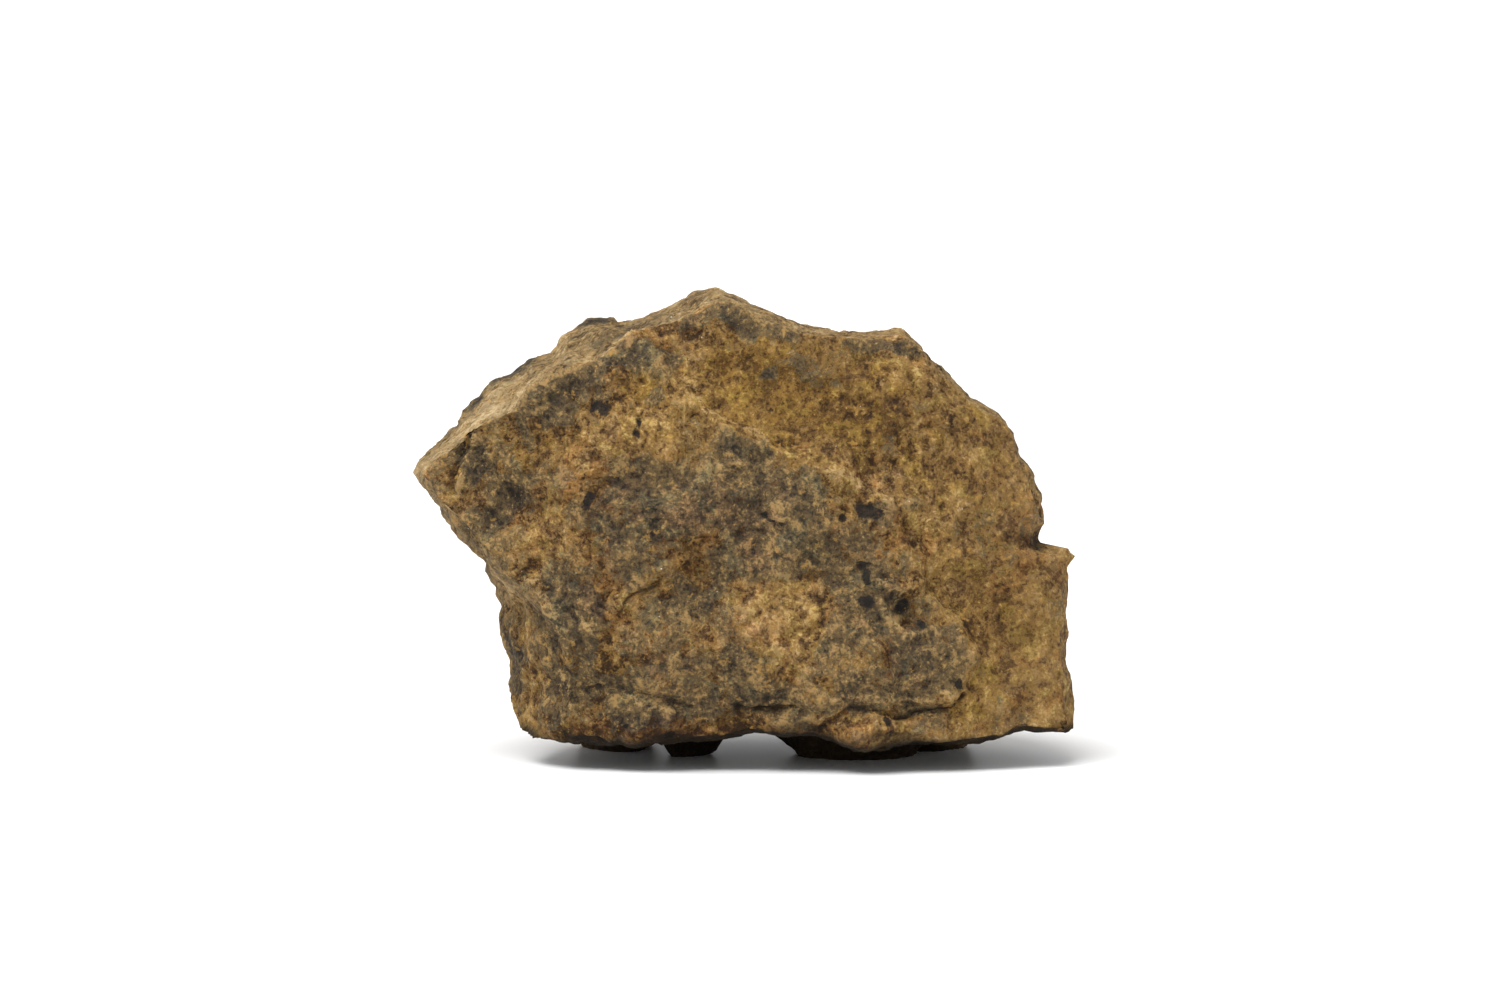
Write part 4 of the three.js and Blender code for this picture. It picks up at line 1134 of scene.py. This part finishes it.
def rusty_iron():
    """Brown rust with dark patina left on the proud parts, ochre hollows and fine grain; painted shade
    darkens its hollows, cracks and underside, and painted light brightens its ridges and dusty tops.
    """
    material, nodes = new_material("rusty_iron")
    object_place = nodes.add("ShaderNodeTexCoord", out="Object")
    sockets = {0: object_place, "Scale": 1.0 / MM}
    place = nodes.add("ShaderNodeVectorMath", {"operation": "SCALE"}, sockets)
    patina = nodes.stored("patina")
    spots = nodes.stored("spots")
    warmth = nodes.stored("warmth")
    lightness = nodes.stored("lightness")
    flank = nodes.stored("flank")
    beyond = nodes.stored("beyond")
    shelf_dust_and_light = nodes.stored("shelf_dust_and_light")
    undercut_dust_and_light = nodes.stored("undercut_dust_and_light")
    # painted shade near the floor and under the stone
    low = nodes.stored("low")
    vein_and_ridge_light = nodes.stored("vein_and_ridge_light")
    crack_shadow = nodes.stored("crack_shadow")
    fine_proud = nodes.stored("fine_proud")
    broad_proud = nodes.stored("broad_proud")

    hue = nodes.noise(place, 2.1, 5.0, 0.65, 0.7)
    patch = nodes.noise(place, 1.6, 4.0, 0.62, 0.9)
    mottle = nodes.noise(place, 2.6, 7.0, 0.72, 0.2)
    crumbs = nodes.noise(place, 0.55, 4.0, 0.7, 0.3)
    grain = nodes.noise(place, 0.24, 2.0, 0.6)
    blobs = nodes.noise(place, 1.1, 3.0, 0.55, 0.4)

    # one tone for everything: lighter on proud places, as wear and painted light, and darker in hollows as
    # painted shade
    ragged = patch + (crumbs - 0.5) * 0.55
    light_patch = nodes.step(ragged, 0.55, 0.60)
    dark_patch = nodes.step(1.0 - ragged, 0.55, 0.60)
    uneven = (mottle - 0.5) * 1.3 + (crumbs - 0.5) * 0.9 + (grain - 0.5) * 0.6
    patches = light_patch * 0.13 - dark_patch * 0.15
    wear_and_painted_relief_shade = fine_proud * 0.8 + broad_proud * 0.05
    tone = 0.5 + (uneven + patches) * (1.0 - flank * 0.30) + wear_and_painted_relief_shade + lightness

    # rust
    warm = warmth + (hue - 0.5) * 3.0
    rust = nodes.tones(tone, RUST_TONES)
    rust = nodes.tint(rust, GOLD_TINT, nodes.step(warm, 0.0, 0.6))
    rust = nodes.tint(rust, RED_TINT, nodes.step(0.0 - warm, 0.0, 0.6))
    rust = nodes.tint(rust, OLIVE_TINT, nodes.step(patch, 0.52, 0.60) * 0.7)
    rust = nodes.tint(rust, GREY_TINT, nodes.step(1.0 - patch + (hue - 0.5) * 0.6, 0.48, 0.60))

    # dust on the shelf, bevel and the strip beside the undercut, all beyond the front edge, laid on partly
    # as painted light on the tops and against the shade of the strip
    dust_and_light = nodes.tones(tone, DUST_AND_LIGHT_TONES)
    dust_and_light = nodes.blend(dust_and_light, SHELF_GREY, nodes.step(hue + (crumbs - 0.5) * 0.4, 0.50, 0.60) * 0.4)
    outside = nodes.step(beyond + (ragged - 0.5) * 1.2, -0.15, 0.10)
    dusty = nodes.step(mottle + grain * 0.5, 0.58, 0.74)
    rust = nodes.blend(rust, dust_and_light, outside * shelf_dust_and_light * (0.32 + dusty * 0.5))
    rust = nodes.blend(rust, dust_and_light, outside * undercut_dust_and_light * (0.4 + dusty * 0.4))

    # old patina over it
    dark = nodes.tones(tone, PATINA_TONES)
    dark = nodes.tint(dark, BLUE_TINT, nodes.step(hue, 0.55, 0.62))
    dark = nodes.tint(dark, PURPLE_TINT, nodes.step(0.0 - warm, 0.2, 0.6))
    cover = patina + (mottle - 0.5) * 2.6 + (ragged - 0.5) * 2.4
    covered = nodes.step(cover, 0.04, 0.28)
    skin = nodes.blend(rust, dark, covered * 0.9)

    # blobs and specks
    blob_edge = blobs + (grain - 0.5) * 0.3
    skin = nodes.blend(skin, OCHRE_BLOB, nodes.step(blob_edge, 0.64, 0.70) * 0.5)
    pale = grain + (crumbs - 0.5) * 0.9
    skin = nodes.blend(skin, PALE_SPECK, nodes.step(pale, 0.70, 0.80) * 0.4)
    skin = nodes.blend(skin, DEEP_BROWN_AND_CRACK_SHADE, nodes.step(1.0 - pale, 0.68, 0.82) * 0.45)

    # pale veins and painted light on the raised ridges, and painted shadow in the cracks
    broken = nodes.step(mottle + crumbs * 0.6, 0.72, 0.86)
    # pale veins, and painted light on the raised ridges
    vein_and_ridge_light_line = nodes.step((crumbs - 0.5) * 1.6 + 0.24 - vein_and_ridge_light, 0.0, 0.25)
    skin = nodes.blend(skin, PALE_SPECK, vein_and_ridge_light_line * broken * 0.42)
    # painted shadow along the cracks and creases
    painted_crack_shadow = nodes.step((crumbs - 0.5) * 0.8 + 0.17 - crack_shadow, 0.0, 0.16)
    skin = nodes.blend(skin, DEEP_BROWN_AND_CRACK_SHADE, painted_crack_shadow * 0.8)

    # tiny painted glints, dark spots, and painted shade on the underside and near the floor
    glint = nodes.step(nodes.noise(place, 0.32, 1.0, 0.5), 0.80, 0.84)
    skin = nodes.blend(skin, GLINT, glint * 0.8)
    black = nodes.step(spots + (crumbs - 0.5) * 2.4, -0.05, 0.25)
    skin = nodes.blend(skin, SPOT_BLACK, black * (0.6 + grain * 0.6))
    # painted shade: near black on the underside and close to the floor
    skin = nodes.blend(skin, PAINTED_UNDER_SHADE, low * 0.92)

    rough = 0.82 + (grain - 0.5) * 0.6 + (mottle - 0.5) * 0.4 - covered * 0.12
    bumps = grain * 0.5 + crumbs * 1.0 + mottle * 1.0 + light_patch * 0.12
    bump = nodes.add("ShaderNodeBump", None, {"Strength": 1.0, "Distance": 0.22 * MM, "Height": bumps})
    shader = nodes.add("ShaderNodeBsdfPrincipled", None, {
        "Base Color": skin,
        "Roughness": rough,
        "Normal": bump,
        "Specular IOR Level": 0.14,
    })
    nodes.add("ShaderNodeOutputMaterial", None, {"Surface": shader})
    return material


# Half the floor's width, in metres
FLOOR_HALF = 12.0


def floor_finish():
    """Plain white, slightly glossy."""
    material, nodes = new_material("white_floor")
    shader = nodes.add("ShaderNodeBsdfPrincipled", None, {
        "Base Color": (0.9, 0.9, 0.9, 1.0),
        "Roughness": 0.4,
        "Specular IOR Level": 0.25,
    })
    nodes.add("ShaderNodeOutputMaterial", None, {"Surface": shader})
    return material


def build_floor():
    """A wide flat floor under the stone."""
    mesh = bpy.data.meshes.new("floor")
    corners = [(x * FLOOR_HALF, y * FLOOR_HALF, 0) for x, y in ((-1, -1), (1, -1), (1, 1), (-1, 1))]
    mesh.from_pydata(corners, [], [(0, 1, 2, 3)])
    floor = bpy.data.objects.new("floor", mesh)
    bpy.context.scene.collection.objects.link(floor)
    floor.data.materials.append(floor_finish())


HORIZON_WHITE = (1.15, 1.15, 1.15, 1.0)
ROOM_GREY = (0.58, 0.58, 0.58, 1.0)


def build_room():
    """A pale room, white all round at the height of the horizon."""
    world = bpy.data.worlds.new("pale_room")
    world.use_nodes = True
    nodes = Nodes(world.node_tree)
    outward = nodes.add("ShaderNodeTexCoord", out="Generated")
    height = nodes.add("ShaderNodeSeparateXYZ", None, {0: outward}, out=2)
    shade = nodes.blend(HORIZON_WHITE, ROOM_GREY, nodes.step(height, 0.12, 0.30))
    background = nodes.add("ShaderNodeBackground", None, {"Color": shade})
    nodes.add("ShaderNodeOutputWorld", None, {"Surface": background})
    bpy.context.scene.world = world


# The one lamp: where it stands as seen from the stone, its strength and spread in degrees
LAMP_TOWARDS = (-0.30, -0.35, 1.0)
LAMP_STRENGTH = 4.0
LAMP_SPREAD = 40.0


def build_light():
    """A pale room and one broad soft lamp overhead, a little to the left and in front."""
    build_room()
    light = bpy.data.lights.new("overhead", "SUN")
    light.energy = LAMP_STRENGTH
    light.angle = math.radians(LAMP_SPREAD)
    lamp = bpy.data.objects.new("overhead", light)
    turn = (-Vector(LAMP_TOWARDS)).to_track_quat("-Z", "Y")
    lamp.matrix_world = turn.to_matrix().to_4x4()
    bpy.context.scene.collection.objects.link(lamp)
    bpy.context.scene.view_settings.view_transform = "Standard"


# Camera: a long lens a little above the stone, level with the photo's
CAMERA_TARGET = (0.62, 0.0, 21.45)
CAMERA_DISTANCE = 352.0
CAMERA_ELEVATION = 4.0
VIEW_WIDTH = 126.9
SENSOR_WIDTH = 36.0


def build_camera():
    """A camera straight in front, raised by a few degrees."""
    lens = bpy.data.cameras.new("camera")
    lens.sensor_width = SENSOR_WIDTH
    lens.lens = SENSOR_WIDTH * CAMERA_DISTANCE / VIEW_WIDTH
    lens.clip_start = 0.01
    lens.clip_end = 20.0
    camera = bpy.data.objects.new("camera", lens)
    rise = math.radians(CAMERA_ELEVATION)
    target = Vector(CAMERA_TARGET) * MM
    back = Vector((0.0, -math.cos(rise), math.sin(rise)))
    turn = (-back).to_track_quat("-Z", "Y")
    at = target + back * CAMERA_DISTANCE * MM
    camera.matrix_world = Matrix.Translation(at) @ turn.to_matrix().to_4x4()
    bpy.context.scene.collection.objects.link(camera)
    bpy.context.scene.camera = camera


build_camera()
build_light()
build_floor()

rusty = rusty_iron()
surface = build_meteorite()
surface.data.materials.append(rusty)
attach(surface, "root")
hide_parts("meteorite")

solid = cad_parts["meteorite"]
solid.data.materials.clear()
solid.data.materials.append(rusty)
